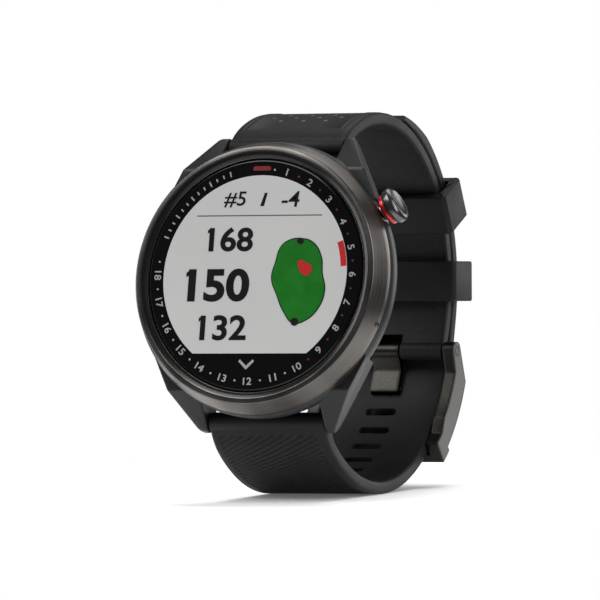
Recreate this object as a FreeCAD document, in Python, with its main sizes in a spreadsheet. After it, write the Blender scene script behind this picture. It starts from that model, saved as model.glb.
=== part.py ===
import FreeCAD, Part
import math
import os
import re
import Sketcher

# A round golf GPS watch on a buckled silicone strap. Millimetres.
# The origin is the middle of the wrist, the dial faces -Y, 12 o'clock is +Z, 3 o'clock is +X.
# "depth" below is measured from the front of the glass towards the wrist.

sizes = {
    # where the watch head sits over the wrist
    "glass_to_wrist": 26.0,
    # how far a cutting tool runs past what it cuts
    "overshoot": 1.0,
    # case and bezel
    "case_radius": 21.9,
    "case_depth": 10.9,
    "case_back_radius": 18.8,
    "case_belt_start": 4.4,
    "case_belt_end": 5.6,
    "case_edge_step": 0.3,
    "cavity_radius": 18.4,
    "bezel_radius": 21.7,
    "bezel_crown": 0.6,
    "bezel_split": 3.4,
    "bezel_lip_radius": 19.6,
    "bezel_top_width": 1.0,
    "bezel_chamfer_depth": 2.6,
    "bezel_top_drop": 0.2,
    "spigot_depth": 0.9,
    "spigot_width": 0.65,
    "fit_gap": 0.05,
    # glass and display stack
    "lens_radius": 18.4,
    "lens_thickness": 1.2,
    "lens_edge": 0.25,
    "ledge_width": 1.35,
    "ledge_thickness": 0.5,
    "gasket_thickness": 0.25,
    "gasket_width": 1.1,
    "touch_radius": 16.9,
    "touch_thickness": 0.2,
    "display_radius": 16.8,
    "display_thickness": 0.7,
    "display_flat": 13.4,
    "backlight_radius": 16.6,
    "backlight_thickness": 0.6,
    # electronics
    "frame_depth": 2.9,
    "frame_radius": 18.2,
    "frame_thickness": 0.7,
    "antenna_width": 1.1,
    "antenna_height": 0.8,
    "antenna_sweep": 300,
    "board_radius": 17.5,
    "board_gap": 0.1,
    "board_thickness": 0.8,
    "can_height": 1.1,
    "can_wall": 0.2,
    "can_gap": 1.0,
    "battery_width": 20.0,
    "battery_length": 24.0,
    "battery_thickness": 3.5,
    "battery_gap": 0.25,
    "battery_corner": 1.5,
    "flex_width": 6.0,
    "flex_thickness": 0.15,
    "flex_run": 0.6,
    "motor_radius": 3.4,
    "motor_thickness": 2.7,
    "motor_place": 13.9,
    # back cover
    "cover_radius": 17.9,
    "cover_thickness": 1.2,
    "cover_ledge_radius": 15.8,
    "cover_ledge_thickness": 1.3,
    "cover_gasket_width": 0.4,
    "cover_gasket_depth": 0.3,
    "screw_circle": 16.95,
    "screw_radius": 0.45,
    "screw_head_radius": 0.8,
    "screw_head_height": 0.5,
    "screw_length": 2.0,
    "charge_width": 9.0,
    "charge_height": 4.6,
    "charge_place": 7.0,
    "charge_recess": 0.6,
    "charge_wall": 0.8,
    "contact_pitch": 2.0,
    "contact_radius": 0.45,
    # vent in the bezel's flank
    "vent_angle": 110,
    "vent_depth": 2.85,
    "vent_radius": 0.3,
    "vent_bore": 0.15,
    "vent_length": 1.2,
    "vent_membrane_thickness": 0.1,
    # button at two o'clock
    "button_angle": 60,
    "button_depth": 5.6,
    "button_travel": 0.3,
    "button_reach": "=case_radius + 2.8",
    "button_cap_radius": 2.9,
    "button_cap_height": 1.75,
    "button_cap_chamfer": 0.5,
    "button_ring_radius": 2.5,
    "button_ring_height": 0.9,
    "button_neck_radius": 1.5,
    "button_stem_radius": 0.85,
    "button_pocket_radius": 2.65,
    "button_pocket_floor": "=case_radius - 0.8",
    "bushing_radius": 2.1,
    "bushing_length": 2.9,
    "spring_pocket_radius": 1.6,
    "spring_pocket_depth": 1.2,
    "spring_wire": 0.18,
    "spring_turns": 3,
    "seal_width": 0.35,
    "clip_radius": 1.35,
    "clip_thickness": 0.25,
    "switch_width": 3.4,
    "switch_length": 1.8,
    "switch_face": 15.8,
    # lugs and spring bars
    "lug_width": 2.45,
    "lug_gap": 0.15,
    "lug_outer": "=strap_width / 2 + lug_gap + lug_width",
    "lug_tip_radius": 1.8,
    "lug_root": "=case_radius - 4.7",
    "lug_shoulder_depth": 3.7,
    "lug_shoulder_height": "=case_radius - 1.6",
    "lug_back_depth": 9.6,
    "bar_height": "=case_radius - 0.1",
    "bar_depth": 9.2,
    "bar_tube_radius": 0.75,
    "bar_tube_bore": 0.5,
    "bar_tube_inset": 0.4,
    "bar_shank_length": 2.0,
    "bar_pin_radius": 0.42,
    "bar_pin_engage": 1.0,
    "bar_pin_travel": 1.3,
    "bar_hole_depth": 1.25,
    "bar_pin_length": 5.2,
    "bar_knob_radius": 0.4,
    "bar_knob_place": 7.6,
    "bar_knob_reach": 2.3,
    "bar_spring_length": 4.5,
    "bar_spring_wire": 0.1,
    "bar_spring_turns": 9,
    # strap
    "strap_width": 20.0,
    "strap_thickness": 2.0,
    "upper_centre": 3.6,
    "upper_middle": "=case_radius + 3.7",
    "lower_centre": 1.6,
    "lower_middle": "=case_radius + 5.6",
    "layer_gap": 0.15,
    "end_radius": 1.6,
    "end_outer_angle": 128,
    "end_inner_angle": 118,
    "lower_outer_angle": 124,
    "lower_inner_angle": 116,
    "tail_angle": 82,
    "tail_tip": 7.0,
    "hole_width": 5.3,
    "hole_length": 1.4,
    "hole_pitch": 4.0,
    "tongue_hole_angle": 18.3,
    "tail_hole_start": 3,
    # buckle
    "buckle_bar_angle": 16,
    "buckle_bar_radius": 0.7,
    "buckle_knuckle_wall": 0.7,
    "buckle_side_gap": 0.35,
    "buckle_arm_width": 1.95,
    "buckle_outer": "=strap_width / 2 + buckle_side_gap + buckle_arm_width",
    "buckle_eye_radius": 1.5,
    "buckle_arm_inner": "=lower_middle - strap_thickness / 2 - 1.2",
    "buckle_arm_outer": "=lower_middle + strap_thickness / 2 + 0.9",
    "buckle_end_angle": 42,
    "buckle_start_angle": 12,
    "crossbar_gap": 0.25,
    "crossbar_outer": "=lower_middle + strap_thickness / 2 + 1.7",
    "crossbar_sweep": 5.5,
    "notch_margin": 2.5,
    "arm_step": 1.0,
    "window_top": 4.0,
    "window_depth": 12.0,
    "tongue_width": 4.8,
    "tongue_thickness": 0.9,
    "tongue_gap": 0.12,
    "tongue_rest": "=lower_middle + strap_thickness / 2 + 0.85",
    "tongue_notch": 5.6,
    "tongue_eye_wall": 0.6,
    "tongue_eye_leave": 20,
    "tongue_eye_return": 125,
    "tongue_run_start": 11,
    # keepers
    "keeper_side": 2.0,
    "keeper_outer": "=strap_width / 2 + keeper_side",
    "keeper_wall": 1.3,
    "keeper_gap": 0.25,
    "keeper_corner": 0.8,
    "free_keeper_angle": 37,
    "free_keeper_length": 6.6,
    "fixed_keeper_angle": 10,
    "fixed_keeper_length": 6.4,
}

doc = FreeCAD.newDocument("GolfWatch")
sheet = doc.addObject("Spreadsheet::Sheet", "sizes")
for row, (alias, figure) in enumerate(sizes.items(), 1):
    sheet.set("A%d" % row, alias)
    sheet.set("B%d" % row, str(figure))
    sheet.setAlias("B%d" % row, alias)
doc.recompute()

parts = []


def bound(text):
    """The expression with each size's name pointing at its cell of the sheet."""
    return re.sub(r"[a-z_]+", lambda word: "sizes." + word[0] if word[0] in sizes else word[0], str(text))


def value(text):
    return float(sheet.evalExpression(bound(text)))


def place(thing, base=("0", "0", "0"), axis=None, angle=None):
    """Bind a position, and a turn about an axis, to the sheet."""
    for letter, text in zip("xyz", base):
        if str(text) != "0":
            thing.setExpression("Placement.Base." + letter, bound(text))
    if axis:
        turn = FreeCAD.Rotation(FreeCAD.Vector(*axis), value(angle))
        thing.Placement = FreeCAD.Placement(thing.Placement.Base, turn)
        thing.setExpression("Placement.Rotation.Angle", bound(angle))
    return thing


def keep(thing, label):
    """Name a finished sub-part, so that it is checked and written."""
    thing.Label = label
    parts.append(thing)
    return thing


def outlineSketch(body, plane, outline, offset=None):
    """A closed sketch. A corner is (x, y), or (x, y, radius, side) where an arc leaves it."""
    sketch = body.newObject("Sketcher::SketchObject", body.Name + "_sketch")
    origin = [item for item in body.Origin.OriginFeatures if item.Role == plane][0]
    sketch.AttachmentSupport = [(origin, "")]
    sketch.MapMode = "FlatFace"
    if offset:
        sketch.setExpression("AttachmentOffset.Base.z", bound(offset))
    corners = [FreeCAD.Vector(value(corner[0]), value(corner[1]), 0) for corner in outline]
    count = len(outline)
    # each piece's own numbers for the ends where it is entered and left
    passage = []
    for index, corner in enumerate(outline):
        start = corners[index]
        end = corners[(index + 1) % count]
        if len(corner) == 2:
            sketch.addGeometry(Part.LineSegment(start, end), False)
            passage.append((1, 2))
            continue
        radius = value(corner[2])
        side = corner[3]
        chord = end - start
        half = chord.Length / 2
        rise = math.sqrt(max(radius * radius - half * half, 0))
        across = FreeCAD.Vector(-chord.y, chord.x, 0).normalize()
        centre = start + chord * 0.5 + across * (rise * side)
        middle = centre - across * (radius * side)
        # the sketcher keeps every arc anticlockwise, so a clockwise one is entered at its second end
        sketch.addGeometry(Part.Arc(start, middle, end) if side > 0 else Part.Arc(end, middle, start), False)
        passage.append((1, 2) if side > 0 else (2, 1))
    for index, corner in enumerate(outline):
        follower = (index + 1) % count
        first, last = passage[index]
        sketch.addConstraint(Sketcher.Constraint("Coincident", index, last, follower, passage[follower][0]))
        for kind, text in zip(("DistanceX", "DistanceY"), corner[:2]):
            number = sketch.addConstraint(Sketcher.Constraint(kind, -1, 1, index, first, value(text)))
            if re.search("[a-z]", str(text)):
                sketch.setExpression("Constraints[%d]" % number, bound(text))
        if len(corner) > 2:
            number = sketch.addConstraint(Sketcher.Constraint("Radius", index, value(corner[2])))
            sketch.setExpression("Constraints[%d]" % number, bound(corner[2]))
    return sketch


def newBody(label):
    return doc.addObject("PartDesign::Body", label)


def turned(label, outline, plane="XY_Plane"):
    """A body turned about the upright axis of its sketch: (radius, height) corners."""
    body = newBody(label)
    sketch = outlineSketch(body, plane, outline)
    turn = body.newObject("PartDesign::Revolution", label + "_turn")
    turn.Profile = sketch
    turn.ReferenceAxis = (sketch, ["V_Axis"])
    turn.Angle = 360
    return body


def padded(body, plane, outline, length, offset=None, reverse=False, middle=True):
    """A straight pad of an outline, about its plane or away from it."""
    sketch = outlineSketch(body, plane, outline, offset)
    pad = body.newObject("PartDesign::Pad", body.Name + "_pad")
    pad.Profile = sketch
    pad.setExpression("Length", bound(length))
    pad.SideType = "Symmetric" if middle else "One side"
    pad.Reversed = reverse
    return pad


def box(name, lows, lengths):
    """A box from its low corner, bound to the sheet."""
    thing = doc.addObject("Part::Box", name)
    for side, text in zip(("Length", "Width", "Height"), lengths):
        thing.setExpression(side, bound(text))
    return place(thing, lows)


def rod(name, radius, length, base=("0", "0", "0"), axis=None, angle=0):
    """A cylinder along +Z before it is turned."""
    thing = doc.addObject("Part::Cylinder", name)
    thing.setExpression("Radius", bound(radius))
    thing.setExpression("Height", bound(length))
    return place(thing, base, axis, angle)


def joined(name, pieces):
    thing = doc.addObject("Part::MultiFuse", name)
    thing.Shapes = pieces
    thing.Refine = True
    return thing


def cut(name, base, tools):
    """The base with every tool taken out of it."""
    thing = doc.addObject("Part::Cut", name)
    thing.Base = base
    thing.Tool = tools[0] if len(tools) == 1 else joined(name + "_tools", tools)
    return thing


def rounded(name, base, edges, radius):
    """The base with the numbered edges rounded."""
    doc.recompute()
    thing = doc.addObject("Part::Fillet", name)
    thing.Base = base
    thing.Edges = [(edge, value(radius), value(radius)) for edge in edges]
    return thing


def coil(name, radius, wire, length, turns):
    """A coil spring along +Z, from 0 to its length over the wire."""
    helix = doc.addObject("Part::Helix", name + "_helix")
    helix.setExpression("Radius", bound(radius))
    helix.setExpression("Height", bound("(%s) - 2 * (%s)" % (length, wire)))
    helix.setExpression("Pitch", bound("((%s) - 2 * (%s)) / (%s)" % (length, wire, turns)))
    section = doc.addObject("Part::Circle", name + "_wire")
    section.setExpression("Radius", bound(wire))
    section.Placement = FreeCAD.Placement(FreeCAD.Vector(), FreeCAD.Rotation(FreeCAD.Vector(1, 0, 0), 90))
    section.setExpression("Placement.Base.x", bound(radius))
    doc.recompute()
    sweep = doc.addObject("Part::Sweep", name)
    sweep.Sections = [section]
    sweep.Spine = (helix, ["Edge1"])
    sweep.Solid = True
    sweep.Frenet = True
    return sweep


head = ("0", "-glass_to_wrist", "0")


def onHead(depth):
    return "(%s) - glass_to_wrist" % depth


# ---------------------------------------------------------------- glass and bezel

lens = turned("lens", [
    ("0", "0"),
    ("lens_radius - lens_edge", "0"),
    ("lens_radius", "lens_edge"),
    ("lens_radius", "lens_thickness"),
    ("0", "lens_thickness")])
keep(place(lens, head), "lens")

ledgeTop = "lens_thickness + gasket_thickness"
ledgeFoot = "lens_thickness + gasket_thickness + ledge_thickness"
boreRadius = "lens_radius + fit_gap"
spigotOuter = "cavity_radius + fit_gap * 2 + spigot_width"
bezel = turned("bezel_ring", [
    (boreRadius, "lens_edge"),
    ("bezel_lip_radius", "-bezel_crown"),
    ("bezel_lip_radius + bezel_top_width", "-bezel_crown + bezel_top_drop"),
    ("bezel_radius", "bezel_chamfer_depth"),
    ("bezel_radius", "bezel_split"),
    (spigotOuter, "bezel_split"),
    (spigotOuter, "bezel_split + spigot_depth"),
    ("cavity_radius + fit_gap", "bezel_split + spigot_depth"),
    ("cavity_radius + fit_gap", ledgeFoot),
    (boreRadius + " - ledge_width", ledgeFoot),
    (boreRadius + " - ledge_width", ledgeTop),
    (boreRadius, ledgeTop)])
place(bezel, head)

lensGasket = turned("lens_gasket", [
    ("lens_radius - gasket_width", "lens_thickness"),
    ("lens_radius", "lens_thickness"),
    ("lens_radius", ledgeTop),
    ("lens_radius - gasket_width", ledgeTop)])
keep(place(lensGasket, head), "lens_gasket")

# ---------------------------------------------------------------- display stack

displayStart = "lens_thickness + touch_thickness"
lightStart = displayStart + " + display_thickness"
backward = (-1, 0, 0)


def disc(name, radius, thickness, start, x="0", z="0"):
    """A disc across the watch, from a depth towards the wrist."""
    return rod(name, radius, thickness, (x, onHead(start), z), backward, 90)


keep(disc("touch_disc", "touch_radius", "touch_thickness", "lens_thickness"), "touch_panel")


def flatDisc(label, radius, thickness, start):
    """A disc with its lower side cut flat, as a display panel is."""
    panel = disc(label + "_disc", radius, thickness, start)
    foot = box(label + "_foot",
               ("-lens_radius", onHead(start + " - overshoot"), "-display_flat - lens_radius"),
               ("2 * lens_radius", thickness + " + 2 * overshoot", "lens_radius"))
    return keep(cut(label + "_cut", panel, [foot]), label)


flatDisc("display_panel", "display_radius", "display_thickness", displayStart)
flatDisc("backlight", "backlight_radius", "backlight_thickness", lightStart)

# ---------------------------------------------------------------- inner frame, board and what it carries

frameBack = "frame_depth + frame_thickness"
boardStart = frameBack + " + board_gap"
boardBack = boardStart + " + board_thickness"
frameDisc = disc("frame_disc", "frame_radius", "frame_thickness", "frame_depth")
slotLeft = "-flex_width / 2 - fit_gap * 4"
slotWidth = "flex_width + fit_gap * 8"
flexSlot = box("flex_slot", (slotLeft, onHead("frame_depth - overshoot"), "-display_flat - flex_run * 3"),
               (slotWidth, "frame_thickness + 2 * overshoot", "flex_run * 3"))
frameNotch = box("frame_notch", (slotLeft, onHead(frameBack + " - flex_thickness"), "-display_flat"),
                 (slotWidth, "flex_thickness", "flex_run * 2 + fit_gap * 2"))
keep(cut("frame_cut", frameDisc, [flexSlot, frameNotch]), "inner_frame")

# the ribbon leaves the panel's flat side, drops through the frame and lies on the board
flexTop = displayStart + " + display_thickness / 2"
ribbon = newBody("ribbon")
padded(ribbon, "YZ_Plane", [
    (flexTop, "-display_flat"),
    (flexTop, "-display_flat - flex_run"),
    (boardStart + " - flex_thickness", "-display_flat - flex_run"),
    (boardStart + " - flex_thickness", "-display_flat + flex_run * 2"),
    (boardStart, "-display_flat + flex_run * 2"),
    (boardStart, "-display_flat - flex_run - flex_thickness"),
    (flexTop + " - flex_thickness", "-display_flat - flex_run - flex_thickness"),
    (flexTop + " - flex_thickness", "-display_flat")], "flex_width")
keep(place(ribbon, head), "display_flex")

antenna = turned("antenna_ring", [
    ("frame_radius - antenna_width", "frame_depth - antenna_height"),
    ("frame_radius", "frame_depth - antenna_height"),
    ("frame_radius", "frame_depth"),
    ("frame_radius - antenna_width", "frame_depth")])
antenna.Tip.setExpression("Angle", bound("antenna_sweep"))
keep(place(antenna, head), "gps_antenna")

keep(disc("board_disc", "board_radius", "board_thickness", boardStart), "main_board")

# shield cans: open-backed tins on the board, either side of the battery's connector
canDepth = onHead(boardBack)
cans = []
for index, (left, foot, wide, tall) in enumerate([("-battery_width / 2", "can_gap", "9", "8"),
                                                  ("can_gap", "can_gap", "7", "6"),
                                                  ("can_gap", "-9", "8", "8")]):
    shell = box("can_%d" % index, (left, canDepth, foot), (wide, "can_height", tall))
    hollow = box("can_hollow_%d" % index, (left + " + can_wall", canDepth, foot + " + can_wall"),
                 (wide + " - 2 * can_wall", "can_height - can_wall", tall + " - 2 * can_wall"))
    cans.append(cut("can_cut_%d" % index, shell, [hollow]))
canGroup = doc.addObject("Part::Compound", "can_group")
canGroup.Links = cans
keep(canGroup, "shield_cans")

batteryStart = boardBack + " + can_height + battery_gap"
cell = box("cell", ("-battery_width / 2", onHead(batteryStart), "-battery_length / 2"),
           ("battery_width", "battery_thickness", "battery_length"))
keep(rounded("cell_round", cell, (2, 4, 6, 8), "battery_corner"), "battery")

lead = newBody("lead")
padded(lead, "YZ_Plane", [
    (batteryStart + " + battery_thickness / 2", "-battery_length / 2"),
    (batteryStart + " + battery_thickness / 2", "-battery_length / 2 - flex_run - flex_thickness"),
    (boardBack, "-battery_length / 2 - flex_run - flex_thickness"),
    (boardBack, "-battery_length / 2 + flex_run * 2"),
    (boardBack + " + flex_thickness", "-battery_length / 2 + flex_run * 2"),
    (boardBack + " + flex_thickness", "-battery_length / 2 - flex_run"),
    (batteryStart + " + battery_thickness / 2 - flex_thickness", "-battery_length / 2 - flex_run"),
    (batteryStart + " + battery_thickness / 2 - flex_thickness", "-battery_length / 2")], "flex_width / 2")
keep(place(lead, head), "battery_flex")

keep(disc("motor", "motor_radius", "motor_thickness", boardBack, "-motor_place"), "vibration_motor")

# ---------------------------------------------------------------- button, along its own +Z
buttonHome = ("0", "button_depth - glass_to_wrist", "0")
upright = (0, 1, 0)


def onButton(thing, label=None):
    """Turn a piece made along +Z to the button's line at two o'clock."""
    place(thing, buttonHome, upright, "button_angle")
    return keep(thing, label) if label else thing


switchHeight = "2 * (button_depth - (%s))" % boardBack
switch = doc.addObject("Part::Box", "switch_box")
switch.setExpression("Length", bound("switch_width"))
switch.setExpression("Width", bound(switchHeight))
switch.setExpression("Height", bound("switch_length"))
switchSeat = doc.addObject("Part::Compound", "switch_seat")
place(switch, ("-switch_width / 2", "-button_depth + (%s)" % boardBack, "switch_face - switch_length"))
switchSeat.Links = [switch]
onButton(switchSeat, "tactile_switch")

capFoot = "button_reach - button_cap_height"
ringFoot = capFoot + " - button_ring_height"
stemEnd = "switch_face + button_travel + fit_gap"
bushingEnd = "button_pocket_floor - bushing_length"
sealStart = bushingEnd + " + 2 * seal_width"
grooveDepth = "button_stem_radius - seal_width"
clipStart = bushingEnd + " - fit_gap - clip_thickness"
neckFoot = ringFoot
cap = turned("cap_turn", [
    ("0", stemEnd),
    ("button_stem_radius", stemEnd),
    ("button_stem_radius", neckFoot),
    ("button_neck_radius", neckFoot),
    ("button_neck_radius", capFoot),
    ("button_cap_radius", capFoot),
    ("button_cap_radius", "button_reach - button_cap_chamfer"),
    ("button_cap_radius - button_cap_chamfer", "button_reach"),
    ("0", "button_reach")], "XZ_Plane")


def ringAt(name, inner, outer, start, height):
    """A square ring about the button's line."""
    return turned(name, [
        (inner, start),
        (outer, start),
        (outer, start + " + " + height),
        (inner, start + " + " + height)], "XZ_Plane")


grooves = [ringAt("groove_%d" % index, grooveDepth, "button_stem_radius + overshoot",
                  sealStart + " + %d * 2 * seal_width" % index, "seal_width") for index in range(2)]
clipGroove = ringAt("clip_groove", grooveDepth, "button_stem_radius + overshoot", clipStart, "clip_thickness")
onButton(cut("cap_cut", cap, grooves + [clipGroove]), "button_cap")

sealPair = doc.addObject("Part::Compound", "seal_pair")
sealPair.Links = [ringAt("seal_%d" % index, grooveDepth, "button_stem_radius + fit_gap / 2",
                         sealStart + " + %d * 2 * seal_width" % index, "seal_width") for index in range(2)]
onButton(sealPair, "button_seals")
onButton(ringAt("clip_ring", grooveDepth, "clip_radius", clipStart, "clip_thickness"), "button_clip")
onButton(turned("accent_ring", [
    ("button_neck_radius", ringFoot),
    ("button_ring_radius - fit_gap * 4", ringFoot),
    ("button_ring_radius", ringFoot + " + fit_gap * 4"),
    ("button_ring_radius", capFoot),
    ("button_neck_radius", capFoot)], "XZ_Plane"), "button_ring")

bushingBore = "button_stem_radius + fit_gap"
bushing = turned("bushing_turn", [
    (bushingBore, bushingEnd),
    ("bushing_radius", bushingEnd),
    ("bushing_radius", "button_pocket_floor"),
    ("spring_pocket_radius", "button_pocket_floor"),
    ("spring_pocket_radius", "button_pocket_floor - spring_pocket_depth"),
    (bushingBore, "button_pocket_floor - spring_pocket_depth")], "XZ_Plane")
onButton(bushing, "button_bushing")

springFoot = "button_pocket_floor - spring_pocket_depth"
springLength = ringFoot + " - (%s)" % springFoot
returnCoil = coil("return_coil", "spring_pocket_radius - spring_wire * 2", "spring_wire",
                  springLength, "spring_turns")
returnSeat = doc.addObject("Part::Compound", "return_seat")
place(returnCoil, ("0", "0", springFoot + " + spring_wire"))
returnSeat.Links = [returnCoil]
onButton(returnSeat, "button_spring")

# ---------------------------------------------------------------- case with its lugs

coverStart = "case_depth - cover_thickness"
coverSeatRadius = "cover_radius + fit_gap"
ledgeFront = coverStart + " - cover_ledge_thickness"
case = turned("case_turn", [
    (spigotOuter + " + fit_gap", "bezel_split"),
    ("case_radius - case_edge_step", "bezel_split"),
    ("case_radius", "case_belt_start"),
    ("case_radius", "case_belt_end"),
    ("case_back_radius + case_edge_step", "case_depth - case_edge_step * 2"),
    ("case_back_radius", "case_depth"),
    (coverSeatRadius, "case_depth"),
    (coverSeatRadius, coverStart),
    ("cover_ledge_radius", coverStart),
    ("cover_ledge_radius", ledgeFront),
    ("cavity_radius", ledgeFront),
    ("cavity_radius", "bezel_split + spigot_depth + fit_gap"),
    (spigotOuter + " + fit_gap", "bezel_split + spigot_depth + fit_gap")])
lugInner = "strap_width / 2 + lug_gap"
tipSlope = 52  # degrees, from the lug's front face to its rounded tip
for end in (1, -1):
    for side in (1, -1):
        flip = "-" if end < 0 else ""
        padded(case, "YZ_Plane", [
            ("lug_shoulder_depth", "%s(lug_root)" % flip),
            ("lug_shoulder_depth", "%s(lug_shoulder_height)" % flip),
            ("bar_depth - lug_tip_radius * cos(%d)" % tipSlope,
             "%s(bar_height + lug_tip_radius * sin(%d))" % (flip, tipSlope), "lug_tip_radius", -end),
            ("bar_depth + lug_tip_radius", "%s(bar_height)" % flip),
            ("lug_back_depth", "%s(lug_root)" % flip)],
            "lug_outer - (%s)" % lugInner,
            offset="%s(%s)" % ("-" if side < 0 else "", lugInner), reverse=side < 0, middle=False)
place(case, head)


def barPlace(end, x="0"):
    """Where a spring bar's line crosses x, at the upper or lower lugs."""
    return (x, "bar_depth - glass_to_wrist", "bar_height" if end > 0 else "-bar_height")


sideways = (0, 1, 0)
screwAngles = [45, 135, 225, 315]


def screwSpot(angle):
    """Where a back cover screw stands across the watch."""
    return "screw_circle * cos(%d)" % angle, "screw_circle * sin(%d)" % angle


caseCuts = []
for end in (1, -1):
    holeLength = "2 * (%s + bar_hole_depth)" % lugInner
    holeStart = barPlace(end, "-(%s) - bar_hole_depth" % lugInner)
    holeName = "lug_hole_%d" % (end + 1)
    caseCuts.append(rod(holeName, "bar_pin_radius + fit_gap", holeLength, holeStart, sideways, 90))
buttonBore = onButton(rod("button_bore", "bushing_radius", "case_radius", ("0", "0", "0")))
buttonPocket = onButton(turned("button_pocket", [
    ("0", "button_pocket_floor"),
    ("button_pocket_radius", "button_pocket_floor"),
    ("button_pocket_radius", "case_radius + 2 * overshoot"),
    ("0", "case_radius + 2 * overshoot")], "XZ_Plane"))
caseCuts += [buttonBore, buttonPocket]
for angle in screwAngles:
    across, up = screwSpot(angle)
    caseCuts.append(rod("screw_hole_%d" % angle, "screw_radius", "cover_ledge_thickness + 2 * overshoot",
                        (across, onHead(ledgeFront + " - overshoot"), up), backward, 90))
keep(cut("case_cut", case, caseCuts), "case_body")

# ---------------------------------------------------------------- vent in the bezel

ventHome = ("0", "vent_depth - glass_to_wrist", "0")


def onVent(thing):
    return place(thing, ventHome, upright, "vent_angle")


ventOuter = "bezel_radius - 0.25"
ventInner = ventOuter + " - vent_length"
ventHole = onVent(turned("vent_hole", [
    ("0", ventInner + " - 2"),
    ("vent_bore", ventInner + " - 2"),
    ("vent_bore", ventInner),
    ("vent_radius", ventInner),
    ("vent_radius", "bezel_radius + overshoot"),
    ("0", "bezel_radius + overshoot")], "XZ_Plane"))
bushingRelief = onButton(rod("bushing_relief", "bushing_radius + fit_gap", "case_radius"))
keep(cut("bezel_cut", bezel, [ventHole, bushingRelief]), "bezel")
keep(onVent(ringAt("vent_sleeve", "vent_bore", "vent_radius", ventInner + " + vent_membrane_thickness",
                   "vent_length - vent_membrane_thickness")), "vent_plug")
keep(onVent(turned("vent_disc", [
    ("0", ventInner),
    ("vent_radius", ventInner),
    ("vent_radius", ventInner + " + vent_membrane_thickness"),
    ("0", ventInner + " + vent_membrane_thickness")], "XZ_Plane")), "vent_membrane")

# ---------------------------------------------------------------- back cover

cover = turned("cover_turn", [
    ("0", coverStart),
    ("cover_ledge_radius + fit_gap", coverStart),
    ("cover_ledge_radius + fit_gap", coverStart + " + cover_gasket_depth"),
    ("cover_ledge_radius + fit_gap + cover_gasket_width", coverStart + " + cover_gasket_depth"),
    ("cover_ledge_radius + fit_gap + cover_gasket_width", coverStart),
    ("cover_radius", coverStart),
    ("cover_radius", "case_depth"),
    ("0", "case_depth")])
place(cover, head)
chargeLow = ("-charge_width / 2", onHead(coverStart), "charge_place - charge_height / 2")
coverCuts = [box("charge_window", chargeLow, ("charge_width", "cover_thickness", "charge_height"))]
screws = []
for index, angle in enumerate(screwAngles):
    spot = screwSpot(angle)
    headStart = onHead("case_depth - screw_head_height")
    shankStart = onHead("case_depth - screw_length")
    for name, group, gap in (("clear", coverCuts, "fit_gap"), ("screw", screws, "0")):
        shank = rod("%s_shank_%d" % (name, index), "screw_radius", "screw_length - screw_head_height",
                    (spot[0], shankStart, spot[1]), backward, 90)
        crown = rod("%s_head_%d" % (name, index), "screw_head_radius + " + gap, "screw_head_height",
                    (spot[0], headStart, spot[1]), backward, 90)
        group.append(joined("%s_%d" % (name, index), [shank, crown]))
keep(cut("cover_cut", cover, coverCuts), "back_cover")
screwGroup = doc.addObject("Part::Compound", "screw_group")
screwGroup.Links = screws
keep(screwGroup, "back_cover_screws")

coverGasket = turned("cover_gasket", [
    ("cover_ledge_radius + fit_gap", coverStart),
    ("cover_ledge_radius + fit_gap + cover_gasket_width", coverStart),
    ("cover_ledge_radius + fit_gap + cover_gasket_width", coverStart + " + cover_gasket_depth"),
    ("cover_ledge_radius + fit_gap", coverStart + " + cover_gasket_depth")])
keep(place(coverGasket, head), "back_cover_gasket")

chargeBlock = box("charge_box", chargeLow, ("charge_width", "cover_thickness", "charge_height"))
chargeSocket = box("charge_socket", ("-charge_width / 2 + charge_wall", onHead("case_depth - charge_recess"),
                                     "charge_place - charge_height / 2 + charge_wall"),
                   ("charge_width - 2 * charge_wall", "charge_recess + overshoot",
                    "charge_height - 2 * charge_wall"))
contacts = []
contactHoles = []
for index in range(4):
    across = "(%d - 1.5) * contact_pitch" % index
    spot = (across, onHead(coverStart), "charge_place")
    for name, group in (("contact", contacts), ("contact_hole", contactHoles)):
        group.append(rod("%s_%d" % (name, index), "contact_radius", "cover_thickness - charge_recess + 0.2",
                         spot, backward, 90))
keep(cut("charge_cut", chargeBlock, [chargeSocket] + contactHoles), "charge_block")
contactGroup = doc.addObject("Part::Compound", "contact_group")
contactGroup.Links = contacts
keep(contactGroup, "charge_contacts")

# ---------------------------------------------------------------- strap

upperIn = "upper_middle - strap_thickness / 2"
upperOut = "upper_middle + strap_thickness / 2"
lowerIn = "lower_middle - strap_thickness / 2"
lowerOut = "lower_middle + strap_thickness / 2"
tailIn = upperOut + " + layer_gap"
tailOut = tailIn + " + strap_thickness"
tailMiddle = tailIn + " + strap_thickness / 2"
# a straight run joins the lower curve to the tail where both share a tangent
tangent = "asin((lower_middle - (%s)) / (upper_centre + lower_centre))" % tailMiddle
buckleBar = ("upper_middle * cos(buckle_bar_angle)", "upper_centre - upper_middle * sin(buckle_bar_angle)")
knuckleRadius = "buckle_bar_radius + fit_gap + buckle_knuckle_wall"
barY = "bar_depth - glass_to_wrist"


def aboutUpper(radius, angle):
    return ("(%s) * cos(%s)" % (radius, angle), "upper_centre + (%s) * sin(%s)" % (radius, angle))


def aboutLower(radius, angle):
    return ("(%s) * cos(%s)" % (radius, angle), "-lower_centre + (%s) * sin(%s)" % (radius, angle))


def barPoint(radius, angle, end):
    """A point about a lug bar, at an angle from straight back, turned over for the lower lugs."""
    height = "bar_height + (%s) * sin(%s)" % (radius, angle)
    return ("%s + (%s) * cos(%s)" % (barY, radius, angle), height if end > 0 else "-(%s)" % height)


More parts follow.
